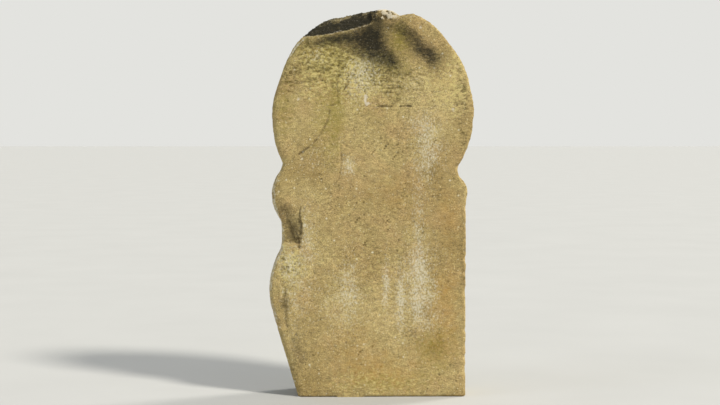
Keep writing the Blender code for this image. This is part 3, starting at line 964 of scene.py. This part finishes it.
    def stained(
        self,
        tree: bpy.types.NodeTree,
        place: bpy.types.NodeSocket,
        colour: bpy.types.NodeSocket,
        layer: StainLayer,
    ) -> bpy.types.NodeSocket:
        """Lays one stain over the colour below, with the painted shade, shadow or highlight that its
        attribute holds.

        Args:
            tree: The material's nodes.
            place: Object coordinates.
            colour: The colour below.
            layer: The stain's colour and how its edge breaks up.

        Returns:
            The colour with the stain on it.
        """
        amount = add_node(tree, "ShaderNodeAttribute", attribute_name=layer.stain.value)
        clusters = add_node(
            tree,
            "ShaderNodeTexNoise",
            {"Scale": 1.0, "Detail": self.cluster_detail, "Roughness": self.cluster_roughness},
            {"Vector": self.stretched(tree, place, layer.cluster_mm)},
        )
        # Noise is centred on a half, so the clusters add as much of the stain as they take away
        ragged = add_node(
            tree,
            "ShaderNodeMath",
            {1: layer.raggedness, 2: -0.5 * layer.raggedness},
            {0: clusters.outputs["Fac"]},
            operation="MULTIPLY_ADD",
        )
        total = add_node(
            tree,
            "ShaderNodeMath",
            None,
            {0: amount.outputs["Fac"], 1: ragged.outputs["Value"]},
            operation="ADD",
        )
        cover = add_node(
            tree,
            "ShaderNodeMapRange",
            {"From Min": layer.span[0], "From Max": layer.span[1], "To Max": layer.opacity},
            {"Value": total.outputs["Value"]},
            interpolation_type="SMOOTHSTEP",
        )
        mixed = add_node(
            tree,
            "ShaderNodeMix",
            {MIX_ABOVE: linear(layer.colour)},
            {MIX_FACTOR: cover.outputs["Result"], MIX_BELOW: colour},
            data_type="RGBA",
        )
        return mixed.outputs[MIX_RESULT]


@dataclass(frozen=True)
class PaleFloor:
    """A painted studio floor: pale and matt, with a faint roller texture."""

    name: str = "painted_studio_floor"
    colour: str = "#c1c1be"
    worn_colour: str = "#b9b9b6"
    patch_mm: float = 420.0
    patch_detail: float = 3.0
    roughness: float = 0.9

    def material(self) -> bpy.types.Material:
        """Builds the floor's material.

        Returns:
            A matt material on Object coordinates.
        """
        material = bpy.data.materials.new(self.name)
        material.use_nodes = True
        tree = material.node_tree
        shader = tree.nodes["Principled BSDF"]
        shader.inputs["Roughness"].default_value = self.roughness
        place = add_node(tree, "ShaderNodeTexCoord").outputs["Object"]
        drift = add_node(
            tree,
            "ShaderNodeTexNoise",
            {"Scale": per_metre(self.patch_mm), "Detail": self.patch_detail},
            {"Vector": place},
        )
        paint = add_node(
            tree,
            "ShaderNodeMix",
            {MIX_BELOW: linear(self.colour), MIX_ABOVE: linear(self.worn_colour)},
            {MIX_FACTOR: drift.outputs["Fac"]},
            data_type="RGBA",
        )
        tree.links.new(paint.outputs[MIX_RESULT], shader.inputs["Base Color"])
        return material


@dataclass(frozen=True)
class Sides:
    """How the points are sorted by the side of the stone that they are on.

    What starts with "faces" goes by a normal's share along one axis, and the rest by millimetres.
    """

    faces_front: Rise = Rise(0.35, 0.85)
    faces_forward: Rise = Rise(0.0, 0.45)
    faces_away: Rise = Rise(-0.35, 0.40)
    faces_up: Rise = Rise(0.1, 0.4)
    rough_depth: Rise = Rise(-60.0, -25.0)
    behind: Rise = Rise(-70.0, -40.0)
    left_of_knob: Rise = Rise(26.0, 10.0)
    over_break: Rise = Rise(-1.0, 3.0)
    fringe: Rise = Rise(24.0, 36.0)
    fringe_edge: Lumps = Lumps(20.0, 3.7, 2)
    fringe_stray: float = 9.0
    crept: Rise = Rise(-16.0, 4.0)
    crept_stray: float = 40.0
    edge_drift: Lumps = Lumps(34.0, 23.6, 3)
    edge_stray: float = 34.0


@dataclass(frozen=True)
class Relief:
    """The patterns of the stone's relief, and in millimetres how high or deep each one goes."""

    # The whole surface, roughest on the head
    ripple: Lumps = Lumps(26.0, 2.2, 3)
    ripple_height: float = 0.55
    grain: Lumps = Lumps((10.0, 6.4, 5.2), 5.1, 2)
    grain_height: float = 0.50
    grain_drift: Lumps = Lumps(70.0, 9.0)
    grain_rise: Rise = Rise(-0.3, 0.3)
    grain_least: float = 0.7
    grain_more: float = 0.6
    head: Rise = Rise(600.0, 760.0)
    head_more: float = 0.5
    # The rough sides and back, left from the point of the tool
    tooling: Lumps = Lumps((58.0, 58.0, 40.0), 11.3, 3)
    tooling_level: float = 0.26
    tooling_height: float = 6.5
    chipping: Lumps = Lumps(11.0, 6.6, 2)
    # The broken face of the crown, its arris and its far fringe
    broken: Lumps = Lumps((17.0, 17.0, 8.0), 4.4, 3)
    broken_height: float = 2.6
    arris_width: float = 5.0
    arris_end: Rise = Rise(30.0, 20.0)
    arris_crumbs: Lumps = Lumps(9.0, 13.7, 2)
    arris_loss: float = 0.6
    arris_crumb_loss: float = 2.0
    fringe_crumbs: Lumps = Lumps(9.0, 14.1, 2)
    fringe_loss: float = 4.5
    # The knob
    knob_lumps: Lumps = Lumps(12.0, 7.7, 2)
    knob_gap_level: float = 0.12
    knob_gap_limit: float = 0.5
    knob_gap_depth: float = 9.0
    # The pores
    pore_spacing: float = 8.5
    pore_radius: float = 4.0
    pore_seed: float = 3.3
    pore_depth: float = 0.12
    open_pore_depth: float = 1.25
    rough_pore_depth: float = 0.5
    coarse_spacing: float = 14.0
    coarse_radius: float = 5.5
    coarse_seed: float = 8.1
    coarse_depth: float = 1.5
    # How unevenly the carving is worn, and how far anything may stand proud
    fading: Lumps = Lumps(16.0, 1.9, 2)
    fade_middle: float = 0.90
    fade_swing: float = 0.75
    fade_limits: tuple[float, float] = (0.35, 1.25)
    proud_limit: float = 1.2


@dataclass(frozen=True)
class Growth:
    """How the stains stray from their patches, and how the crown and the left edge are coloured."""

    # How the patches' outlines wander and the lines stray
    wander_x: Lumps = Lumps(48.0, 21.4, 3)
    wander_z: Lumps = Lumps(48.0, 31.9, 3)
    line_stray: float = 2.2
    line_stray_x: Lumps = Lumps(13.0, 6.1, 2)
    line_stray_z: Lumps = Lumps(13.0, 16.3, 2)
    # How dark the painted shade in the pits and the pores is
    pit_shade: float = 1.2
    pore_shade: float = 0.10
    open_pore_shade: float = 0.80
    # The patterns of the rough sides, and the paler strip along the left edge
    drift: Lumps = Lumps(170.0, 12.5, 3)
    blotches: Lumps = Lumps(52.0, 15.5, 4)
    left_faces: Rise = Rise(0.3, 0.7)
    left_edge: Rise = Rise(-215.0, -232.0)
    left_foot: Rise = Rise(130.0, 240.0)
    left_waist: Rise = Rise(660.0, 560.0)
    left_depth: Rise = Rise(-10.0, -84.0)
    left_stray: float = 34.0
    left_level: float = 0.62
    left_swing: float = 0.6
    left_limit: float = 0.8
    # How dark the break is, and the black crust past it, on the top behind it and where it runs down the
    # back
    crust_patches: Lumps = Lumps(24.0, 18.2, 3)
    crust_swing: float = 0.26
    crept_share: float = 0.85
    left_end: Rise = Rise(-128.0, -165.0)
    left_end_stray: float = 14.0
    left_end_loss: float = 0.02
    left_end_bloom: float = 0.12
    fringe_loss: float = 0.36
    fringe_algae: float = 0.20
    fringe_bloom: float = 0.40
    top_faces: Rise = Rise(0.25, 0.8)
    top_height: Rise = Rise(700.0, 950.0)
    top_level: float = 0.45
    top_swing: float = 0.5
    run_height: Rise = Rise(905.0, 1015.0)
    run_stray: float = 60.0
    run_width: Rise = Rise(90.0, 20.0)
    run_share: float = 0.70
    # The fresh stone of the knob, and the grime between its lumps
    knob_stray: float = 50.0
    knob_height: Rise = Rise(1016.0, 1028.0)
    knob_depth: Rise = Rise(14.0, -58.0)
    knob_depth_stray: float = 60.0
    knob_left: Rise = Rise(8.0, 20.0)
    knob_fresh: Rise = Rise(-0.32, 0.05)
    knob_fresh_share: float = 1.25
    knob_gaps: Rise = Rise(0.05, -0.25)
    knob_grime: float = 0.8
    lumpy_above: Rise = Rise(1000.0, 1015.0)


@dataclass(frozen=True)
class SideGrowth:
    """How one stain spreads over the rough sides and the back, by the two patterns there, and its most."""

    stain: Stain
    level: float
    by_drift: float
    by_blotches: float
    limit: float


SIDES = Sides()
GROWTH = Growth()
SIDE_GROWTHS = (
    SideGrowth(Stain.ALGAE, 0.16, 0.70, 0.0, 0.6),
    SideGrowth(Stain.MOSS, 0.22, -0.55, 0.4, 0.7),
    SideGrowth(Stain.LICHEN, 0.18, 0.0, 0.75, 0.7),
    SideGrowth(Stain.BLOOM, -0.22, 0.0, 0.9, 0.55),
)


@dataclass
class Headstone:
    """The carved stone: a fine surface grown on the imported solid, weathered in relief and in colour."""

    node: str = "headstone"
    name: str = "weathered_headstone"
    voxel: float = 7.6 * MM
    weld: float = 0.01 * MM
    # Where the mesh is halved, in millimetres: near the front, on the crown and by the finest wear
    refined_depth: float = 22.0
    crown_height: float = 955.0
    crown_end: float = 110.0
    break_margin: float = 9.0
    break_rise: float = 4.0
    break_end: float = 78.0
    line_margin: float = 4.0
    pit_reach: float = 2.2
    scoop_edge: float = -184.0
    scoop_heights: tuple[float, float] = (405.0, 525.0)
    porous_cover: float = 0.6
    # How the arrises are softened, down to a few rows of the mesh above the foot, which stays flat
    softening: int = 2
    softening_factor: float = 0.5
    foot_rows: int = 2
    foot: Rise = Rise(1.0, 14.0)
    smooth_angle: float = 65.0
    most_stain: float = 1.2
    relief: Relief = field(default_factory=Relief)
    finish: WeatheredSandstone = field(default_factory=WeatheredSandstone)

    def build(self) -> bpy.types.Object:
        """Models and dresses the stone.

        Returns:
            The piece, riding on the body and standing for its node.
        """
        solid = self.merged_copy("solid_guide")
        stone = self.merged_copy(self.name)
        self.grow_surface(stone, solid)
        self.weather(stone)
        bpy.data.objects.remove(solid, do_unlink=True)
        select_only(stone)
        bpy.ops.object.shade_smooth_by_angle(angle=math.radians(self.smooth_angle))
        stone.data.materials.clear()
        stone.data.materials.append(self.finish.material())
        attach(stone, "root")
        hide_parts("headstone")
        return stone

    def merged_copy(self, name: str) -> bpy.types.Object:
        """Copies the node and merges its loose triangles.

        Args:
            name: The copy's name.

        Returns:
            The copy, with a mesh of its own and none of the node's tags.
        """
        select_only(frame["nodes"][self.node])
        bpy.ops.object.duplicate(linked=False)
        copy = bpy.context.view_layer.objects.active
        copy.name = name
        copy.data.name = name
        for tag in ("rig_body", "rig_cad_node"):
            del copy[tag]
        bpy.ops.object.parent_clear(type="CLEAR_KEEP_TRANSFORM")
        bpy.ops.object.mode_set(mode="EDIT")
        bpy.ops.mesh.select_all(action="SELECT")
        bpy.ops.mesh.remove_doubles(threshold=self.weld)
        bpy.ops.mesh.customdata_custom_splitnormals_clear()
        bpy.ops.object.mode_set(mode="OBJECT")
        return copy

    def grow_surface(self, stone: bpy.types.Object, solid: bpy.types.Object) -> None:
        """Turns the copy into an even fine mesh that lies on the solid, finest on the front.

        Args:
            stone: The copy that becomes the piece.
            solid: The merged solid that its points settle on.
        """
        select_only(stone)
        remesh = stone.modifiers.new("even mesh", "REMESH")
        remesh.mode = "VOXEL"
        remesh.voxel_size = self.voxel
        bpy.ops.object.modifier_apply(modifier=remesh.name)
        self.refine(stone, self.near_front)
        self.refine(stone, self.finely_worn)
        settle = stone.modifiers.new("settle on the solid", "SHRINKWRAP")
        settle.target = solid
        settle.wrap_method = "NEAREST_SURFACEPOINT"
        bpy.ops.object.modifier_apply(modifier=settle.name)
        above_foot = stone.vertex_groups.new(name="above_foot")
        lowest = self.foot_rows * self.voxel
        above_foot.add([vert.index for vert in stone.data.vertices if vert.co.z > lowest], 1.0, "ADD")
        soften = stone.modifiers.new("worn arrises", "SMOOTH")
        soften.factor = self.softening_factor
        soften.iterations = self.softening
        soften.vertex_group = above_foot.name
        bpy.ops.object.modifier_apply(modifier=soften.name)

    def refine(self, stone: bpy.types.Object, zone: Callable[[np.ndarray], np.ndarray]) -> None:
        """Halves the mesh in one zone.

        Args:
            stone: The mesh.
            zone: Tells for each face's middle, one row a face in millimetres, whether it is in the zone.
        """
        polygons = stone.data.polygons
        middles = np.empty(len(polygons) * 3)
        polygons.foreach_get("center", middles)
        polygons.foreach_set("select", zone(middles.reshape(-1, 3) * MM_IN_METRE))
        bpy.context.view_layer.objects.active = stone
        bpy.context.tool_settings.mesh_select_mode = (False, False, True)
        bpy.ops.object.mode_set(mode="EDIT")
        bpy.ops.mesh.subdivide(number_cuts=1)
        bpy.ops.mesh.select_all(action="DESELECT")
        bpy.ops.object.mode_set(mode="OBJECT")

    def on_front(self, y: np.ndarray) -> np.ndarray:
        """Whether depths, in millimetres, are within the refined depth of the front."""
        return y < CAD_BOX[0].y * MM_IN_METRE + self.refined_depth

    def near_front(self, middles: np.ndarray) -> np.ndarray:
        """Tells which places are on the front face, round its arrises or on the crown.

        Args:
            middles: One row a place, in millimetres.

        Returns:
            Whether each place is there.
        """
        x, y, z = middles.T
        return self.on_front(y) | ((z > self.crown_height) & (x < self.crown_end))

    def finely_worn(self, middles: np.ndarray) -> np.ndarray:
        """Tells which places are by the finest wear: the carving, the pits, the scoop and the break.

        Args:
            middles: One row a place, in millimetres.

        Returns:
            Whether each place is there.
        """
        x, y, z = middles.T
        above_break = z - np.interp(x, *np.array(BREAK_ARRIS).T)
        close = (above_break > -self.break_margin) & (x < self.break_end)
        for line in (*WORN_LINES, *STAINED_LINES, *strokes()):
            close |= replace(line, half_width=line.half_width + self.line_margin).nearness(x, z) > 0.0
        for pit in PITS:
            close |= np.hypot(x - pit.x, z - pit.z) < self.pit_reach * pit.radius
        close |= (x < self.scoop_edge) & (z > self.scoop_heights[0]) & (z < self.scoop_heights[1])
        for patch in FINEST_PORES:
            close |= patch.cover(x, z) > self.porous_cover
        return close & (self.on_front(y) | (above_break > self.break_rise))

    def weather(self, stone: bpy.types.Object) -> None:
        """Moves the surface's points as wear has, and records where each stain and each painted shade,
        shadow and light lies.

        Args:
            stone: The fine mesh.
        """
        mesh = stone.data
        count = len(mesh.vertices)
        places = np.empty(count * 3)
        mesh.vertices.foreach_get("co", places)
        normals = np.empty(count * 3)
        mesh.vertex_normals.foreach_get("vector", normals)
        points = places.reshape(-1, 3) * MM_IN_METRE
        normals = normals.reshape(-1, 3)
        wear = Wear(points, normals, self.relief)
        hold = self.foot.at(points[:, 2])
        moved = points + normals * (wear.height() * hold)[:, None]
        mesh.vertices.foreach_set("co", (moved * MM).ravel())
        mesh.update()
        for stain, amount in wear.stains().items():
            layer = mesh.attributes.new(stain.value, "FLOAT", "POINT")
            layer.data.foreach_set("value", np.clip(amount, 0.0, self.most_stain).astype(np.float32))


class Wear:
    """What the weather has done at every point of the stone, worked out from its place and slope."""

    def __init__(self, points: np.ndarray, normals: np.ndarray, relief: Relief) -> None:
        """Notes the points and sorts them by the side of the stone that they are on.

        Args:
            points: One row a point, in millimetres.
            normals: The way that each point faces.
            relief: The patterns and sizes of the relief.
        """
        self.points = points
        self.normals = normals
        self.relief = relief
        self.x = points[:, 0]
        self.y = points[:, 1]
        self.z = points[:, 2]
        self.front = SIDES.faces_front.at(-normals[:, 1])
        self.forward = SIDES.faces_forward.at(-normals[:, 1])
        self.hewn = SIDES.faces_away.at(normals[:, 1]) * SIDES.rough_depth.at(self.y)
        self.behind = SIDES.behind.at(self.y)
        self.edge_drift = SIDES.edge_drift.at(points) * self.behind
        self.sort_crown()
        self.lumps = relief.knob_lumps.at(points)
        fading = relief.fade_middle + relief.fade_swing * relief.fading.at(points)
        self.fade = np.clip(fading, *relief.fade_limits)
        self.wander_x = GROWTH.wander_x.at(points)
        self.wander_z = GROWTH.wander_z.at(points)
        self.strayed_x = self.x + GROWTH.line_stray * GROWTH.line_stray_x.at(points)
        self.strayed_z = self.z + GROWTH.line_stray * GROWTH.line_stray_z.at(points)
        self.porous = self.gathered(POROUS_PATCHES)
        self.pores = pore_field(points, relief.pore_spacing, relief.pore_radius, relief.pore_seed)
        self.coarse_pores = pore_field(
            points, relief.coarse_spacing, relief.coarse_radius, relief.coarse_seed
        )

    def sort_crown(self) -> None:
        """Finds the broken face of the crown, its far fringe and what has crept past it behind."""
        self.above_break = self.z - np.interp(self.x, *np.array(BREAK_ARRIS).T)
        left_of_knob = SIDES.left_of_knob.at(self.x + SIDES.edge_stray * self.edge_drift)
        upward = SIDES.faces_up.at(self.normals[:, 2])
        self.facet = SIDES.over_break.at(self.above_break) * left_of_knob * upward
        ragged = self.above_break + SIDES.fringe_stray * SIDES.fringe_edge.at(self.points)
        self.fringe = self.facet * SIDES.fringe.at(ragged)
        crept = SIDES.crept.at(self.above_break + SIDES.crept_stray * self.edge_drift)
        self.crept = crept * left_of_knob * upward * self.behind

    def gathered(self, patches: tuple[Patch, ...]) -> np.ndarray:
        """The strongest of several patches at each point of the front.

        Args:
            patches: The patches, all of one stain.

        Returns:
            The stain's amount.
        """
        amount = np.zeros(self.x.shape)
        for patch in patches:
            amount = np.maximum(amount, self.covered(patch))
        return amount * self.front

    def covered(self, patch: Patch) -> np.ndarray:
        """How much of a patch lies at each point, its outline wandering a little."""
        stray = patch.stray()
        return patch.cover(self.x + stray * self.wander_x, self.z + stray * self.wander_z)

    def height(self) -> np.ndarray:
        """How far each point stands out from the solid, in millimetres.

        Returns:
            Millimetres along the normal, below nought where stone is lost.
        """
        relief = self.relief
        points = self.points
        ripple = relief.ripple.at(points) * relief.ripple_height
        grain = relief.grain.at(points) * relief.grain_height
        grain *= 1.0 + relief.head_more * relief.head.at(self.z)
        drift = relief.grain_rise.at(relief.grain_drift.at(points))
        height = ripple + grain * (relief.grain_least + relief.grain_more * drift)
        tooling = np.abs(relief.tooling.at(points)) - relief.tooling_level
        height += self.hewn * (tooling * relief.tooling_height + relief.chipping.at(points))
        height += self.facet * relief.broken.at(points) * relief.broken_height
        height -= self.crown_loss()
        pore_depth = relief.pore_depth + relief.open_pore_depth * self.porous
        height -= self.pores * (pore_depth + relief.rough_pore_depth * self.hewn)
        height -= self.coarse_pores * relief.coarse_depth * self.porous
        height -= self.carving()
        for pit in PITS:
            height -= self.front * pit.hollow(self.x, self.z) * pit.depth
        return np.minimum(height, relief.proud_limit)

    def crown_loss(self) -> np.ndarray:
        """How much has crumbled from the break's arris, from its far fringe and between the knob's lumps.

        Returns:
            Millimetres at each point.
        """
        relief = self.relief
        near_arris = np.exp(-((self.above_break / relief.arris_width) ** 2)) * relief.arris_end.at(self.x)
        crumbs = np.abs(relief.arris_crumbs.at(self.points))
        loss = near_arris * self.front * (relief.arris_loss + relief.arris_crumb_loss * crumbs)
        loss += self.fringe * np.abs(relief.fringe_crumbs.at(self.points)) * relief.fringe_loss
        gaps = np.clip(relief.knob_gap_level - self.lumps, 0.0, relief.knob_gap_limit)
        return loss + KNOB.cover(self.x, self.z) * gaps * relief.knob_gap_depth

    def carving(self) -> np.ndarray:
        """How deep the worn carving is at each point of the front.

        Returns:
            Millimetres at each point.
        """
        depth = np.zeros(self.x.shape)
        for line in (*WORN_LINES, *strokes()):
            depth = np.maximum(depth, line.nearness(self.x, self.z) * line.depth)
        return depth * self.fade * self.front

    def stains(self) -> dict[Stain, np.ndarray]:
        """How much of each stain, and of the painted shade, shadow and light, lies at each point.

        Returns:
            The amounts, from nought to a little over one.
        """
        amounts = {stain: np.zeros(self.x.shape) for stain in Stain}
        for stain, patches in PATCHES.items():
            for patch in patches:
                free = 1.0 - np.minimum(amounts[stain], 1.0)
                amounts[stain] += free * self.covered(patch) * self.front
        for line in STAINED_LINES:
            nearness = line.nearness(self.strayed_x, self.strayed_z)
            shade = nearness * line.strength * self.forward * self.fade
            amounts[line.stain] = np.maximum(amounts[line.stain], shade)
        # Grime and painted shade along the carved lines
        for line in (*WORN_LINES, *strokes()):
            shade = line.nearness(self.x, self.z) * line.grime * self.front * self.fade
            amounts[Stain.GRIME_AND_SHADE] = np.maximum(amounts[Stain.GRIME_AND_SHADE], shade)
        self.stain_crown(amounts)
        self.stain_knob(amounts)
        self.stain_sides(amounts)
        # Painted shade in the pits and the open pores, darkest where they are deepest
        pits = np.zeros(self.x.shape)
        for pit in PITS:
            pits = np.maximum(pits, pit.hollow(self.x, self.z) * self.front)
        pore_shade_amount = self.pores * (GROWTH.pore_shade + GROWTH.open_pore_shade * self.porous)
        pore_shade_amount += self.coarse_pores * self.porous
        amounts[Stain.PORE_SHADE] = np.maximum(pore_shade_amount, pits * GROWTH.pit_shade)
        amounts[Stain.HEWN] = self.hewn
        return amounts

    def stain_crown(self, amounts: dict[Stain, np.ndarray]) -> None:
        """Blackens the broken crown, greys its far edge and lets the crust run down behind.

        Args:
            amounts: The amounts so far, added to in place.
        """
        patchy = GROWTH.crust_patches.at(self.points)
        left_end = self.facet * GROWTH.left_end.at(self.x + GROWTH.left_end_stray * patchy)
        crust = np.maximum(self.facet, GROWTH.crept_share * self.crept)
        crust *= 1.0 + GROWTH.crust_swing * patchy
        crust -= GROWTH.fringe_loss * self.fringe + GROWTH.left_end_loss * left_end
        top = GROWTH.top_faces.at(self.normals[:, 2]) * GROWTH.top_height.at(self.z)
        on_top = top * self.behind * (GROWTH.top_level + GROWTH.top_swing * patchy)
        run_down = GROWTH.run_height.at(self.z + GROWTH.run_stray * patchy) * GROWTH.run_width.at(self.x)
        for amount in (crust, on_top, self.hewn * run_down * GROWTH.run_share):
            amounts[Stain.CRUST_AND_SHADOW] = np.maximum(amounts[Stain.CRUST_AND_SHADOW], amount)
        amounts[Stain.ALGAE] += self.fringe * GROWTH.fringe_algae
        amounts[Stain.BLOOM] += self.fringe * GROWTH.fringe_bloom + left_end * GROWTH.left_end_bloom

    def stain_knob(self, amounts: dict[Stain, np.ndarray]) -> None:
        """Shows fresh stone on the knob's lumps and grime between them.

        Args:
            amounts: The amounts so far, added to in place.
        """
        knob = KNOB.cover(self.x + GROWTH.knob_stray * self.edge_drift, self.z)
        knob *= GROWTH.knob_height.at(self.z)
        knob *= GROWTH.knob_depth.at(self.y + GROWTH.knob_depth_stray * self.edge_drift)
        knob *= GROWTH.knob_left.at(self.x + SIDES.edge_stray * self.edge_drift)
        lumpy = GROWTH.knob_fresh.at(self.lumps)
        amounts[Stain.FRESH] *= 1.0 - GROWTH.lumpy_above.at(self.z) * (1.0 - lumpy)
        amounts[Stain.FRESH] = np.maximum(amounts[Stain.FRESH], knob * lumpy * GROWTH.knob_fresh_share)
        amounts[Stain.GRIME_AND_SHADE] += knob * GROWTH.knob_gaps.at(self.lumps) * GROWTH.knob_grime

    def stain_sides(self, amounts: dict[Stain, np.ndarray]) -> None:
        """Lets algae, moss and lichen grow over the rough sides and back, and pales the left edge.

        Args:
            amounts: The amounts so far, added to in place.
        """
        drift = GROWTH.drift.at(self.points)
        blotches = GROWTH.blotches.at(self.points)
        for side in SIDE_GROWTHS:
            spread = side.level + side.by_drift * drift + side.by_blotches * blotches
            amounts[side.stain] += self.hewn * np.clip(spread, 0.0, side.limit)
        left = GROWTH.left_faces.at(-self.normals[:, 0]) * GROWTH.left_edge.at(self.x)
        low = GROWTH.left_foot.at(self.z) * GROWTH.left_waist.at(self.z)
        near = GROWTH.left_depth.at(self.y + GROWTH.left_stray * blotches)
        share = np.clip(GROWTH.left_level + GROWTH.left_swing * blotches, 0.0, GROWTH.left_limit)
        amounts[Stain.BLOOM] = np.maximum(amounts[Stain.BLOOM], left * low * near * share)


def strokes() -> tuple[WornLine, ...]:
    """The short strokes left of the lost inscription, row by row.

    Returns:
        The strokes, each a straight line.
    """
    lines = []
    for height in STROKE_ROWS:
        for column in range(STROKE_COLUMNS):
            start = STROKE_START + column * STROKE_GAP
            ends = ((start, height), (start + STROKE_LENGTH, height + STROKE_CLIMB))
            lines.append(WornLine(ends, STROKE_HALF_WIDTH, STROKE_DEPTH, STROKE_GRIME))
    return tuple(lines)


def select_only(obj: bpy.types.Object) -> None:
    """Deselects everything, then selects one object and makes it active.

    Args:
        obj: The object.
    """
    bpy.ops.object.select_all(action="DESELECT")
    obj.select_set(True)
    bpy.context.view_layer.objects.active = obj


@dataclass(frozen=True)
class Lamp:
    """A far soft light: where it stands, how wide it looks, its watts a square metre and its colour."""

    name: str
    azimuth: float
    elevation: float
    softness: float
    power: float
    colour: str


@dataclass
class Studio:
    """A plain pale floor, soft lights and the camera, all clear of the stone.

    Lengths are in metres and angles in degrees. An azimuth goes round from the front, towards +X.
    """

    lamps: tuple[Lamp, ...] = (
        Lamp("key_light", 50.0, 42.0, 10.0, 3.23, "#fffaf0"),
        Lamp("side_light", -70.0, 25.0, 30.0, 0.5, "#eef3ff"),
        Lamp("back_light", 125.0, 34.0, 16.0, 1.9, "#fffaf2"),
    )
    floor_side: float = 240.0
    camera_distance: float = 4.0
    camera_azimuth: float = -1.0
    camera_elevation: float = 2.5
    frame_width: float = 1.944
    aim: tuple[float, float, float] = (-0.031, -0.08, 0.528)
    sensor: float = 36.0
    horizon_colour: str = "#e3e3df"
    zenith_colour: str = "#8f969c"
    horizon_band: tuple[float, float] = (0.16, 0.50)
    floor_finish: PaleFloor = field(default_factory=PaleFloor)

    def build(self) -> None:
        """Sets the floor, the lights, the surrounding light and the camera."""
        self.add_floor()
        for lamp in self.lamps:
            self.add_light(lamp)
        self.add_surroundings()
        self.add_camera()
        bpy.context.scene.view_settings.view_transform = "Standard"

    def around(self, azimuth: float, elevation: float, distance: float) -> Vector:
        """A place round the stone's middle.

        Args:
            azimuth: Degrees round from the front, towards +X.
            elevation: Degrees above the level of the aim.
            distance: Metres from the aim.

        Returns:
            The place.
        """
        turn, rise = math.radians(azimuth), math.radians(elevation)
        way = Vector((math.sin(turn) * math.cos(rise), -math.cos(turn) * math.cos(rise), math.sin(rise)))
        return Vector(self.aim) + way * distance

    def facing_aim(self, place: Vector) -> tuple[float, float, float]:
        """The turn that points a camera or a light at the aim from a place."""
        return tuple((Vector(self.aim) - place).to_track_quat("-Z", "Y").to_euler())

    def add_floor(self) -> None:
        """Lays the floor under the stone's foot."""
        bpy.ops.object.select_all(action="DESELECT")
        bpy.ops.mesh.primitive_plane_add(size=self.floor_side, location=(0.0, 0.0, 0.0))
        floor = bpy.context.active_object
        floor.name = "studio_floor"
        floor.data.materials.append(self.floor_finish.material())

    def add_light(self, lamp: Lamp) -> None:
        """Hangs a far soft light, which falls evenly on the stone and the whole floor.

        Args:
            lamp: Where it stands, and what light it gives.
        """
        place = self.around(lamp.azimuth, lamp.elevation, self.camera_distance)
        bpy.ops.object.light_add(type="SUN", location=place, rotation=self.facing_aim(place))
        light = bpy.context.active_object
        light.name = lamp.name
        light.data.angle = math.radians(lamp.softness)
        light.data.energy = lamp.power
        light.data.color = linear(lamp.colour)[:3]

    def add_surroundings(self) -> None:
        """Fills the studio with even light, pale round the horizon and dimmer overhead."""
        world = bpy.data.worlds.new("pale_studio")
        world.use_nodes = True
        tree = world.node_tree
        way = add_node(tree, "ShaderNodeTexCoord").outputs["Generated"]
        parts = add_node(tree, "ShaderNodeSeparateXYZ", None, {"Vector": way})
        low, high = self.horizon_band
        rise = add_node(
            tree,
            "ShaderNodeMapRange",
            {"From Min": low, "From Max": high},
            {"Value": parts.outputs["Z"]},
            interpolation_type="SMOOTHSTEP",
        )
        sky = add_node(
            tree,
            "ShaderNodeMix",
            {MIX_BELOW: linear(self.horizon_colour), MIX_ABOVE: linear(self.zenith_colour)},
            {MIX_FACTOR: rise.outputs["Result"]},
            data_type="RGBA",
        )
        tree.links.new(sky.outputs[MIX_RESULT], tree.nodes["Background"].inputs["Color"])
        bpy.context.scene.world = world

    def add_camera(self) -> None:
        """Places the camera and makes it the scene's."""
        place = self.around(self.camera_azimuth, self.camera_elevation, self.camera_distance)
        bpy.ops.object.camera_add(location=place, rotation=self.facing_aim(place))
        camera = bpy.context.active_object
        camera.name = "studio_camera"
        camera.data.sensor_width = self.sensor
        camera.data.lens = self.sensor * self.camera_distance / self.frame_width
        camera.data.clip_end = self.floor_side
        bpy.context.scene.camera = camera


def triangles(obj: bpy.types.Object) -> int:
    """How many triangles an object's faces make."""
    return sum(len(polygon.vertices) - 2 for polygon in obj.data.polygons)


def main() -> None:
    """Builds the stone and its studio, and reports each."""
    logging.basicConfig(level=logging.INFO, format="%(name)s: %(message)s")
    stone = Headstone().build()
    LOG.info("%s: %d triangles", stone.name, triangles(stone))
    Studio().build()
    LOG.info("studio: floor, lights and camera in place")


if __name__ == "__main__":
    main()
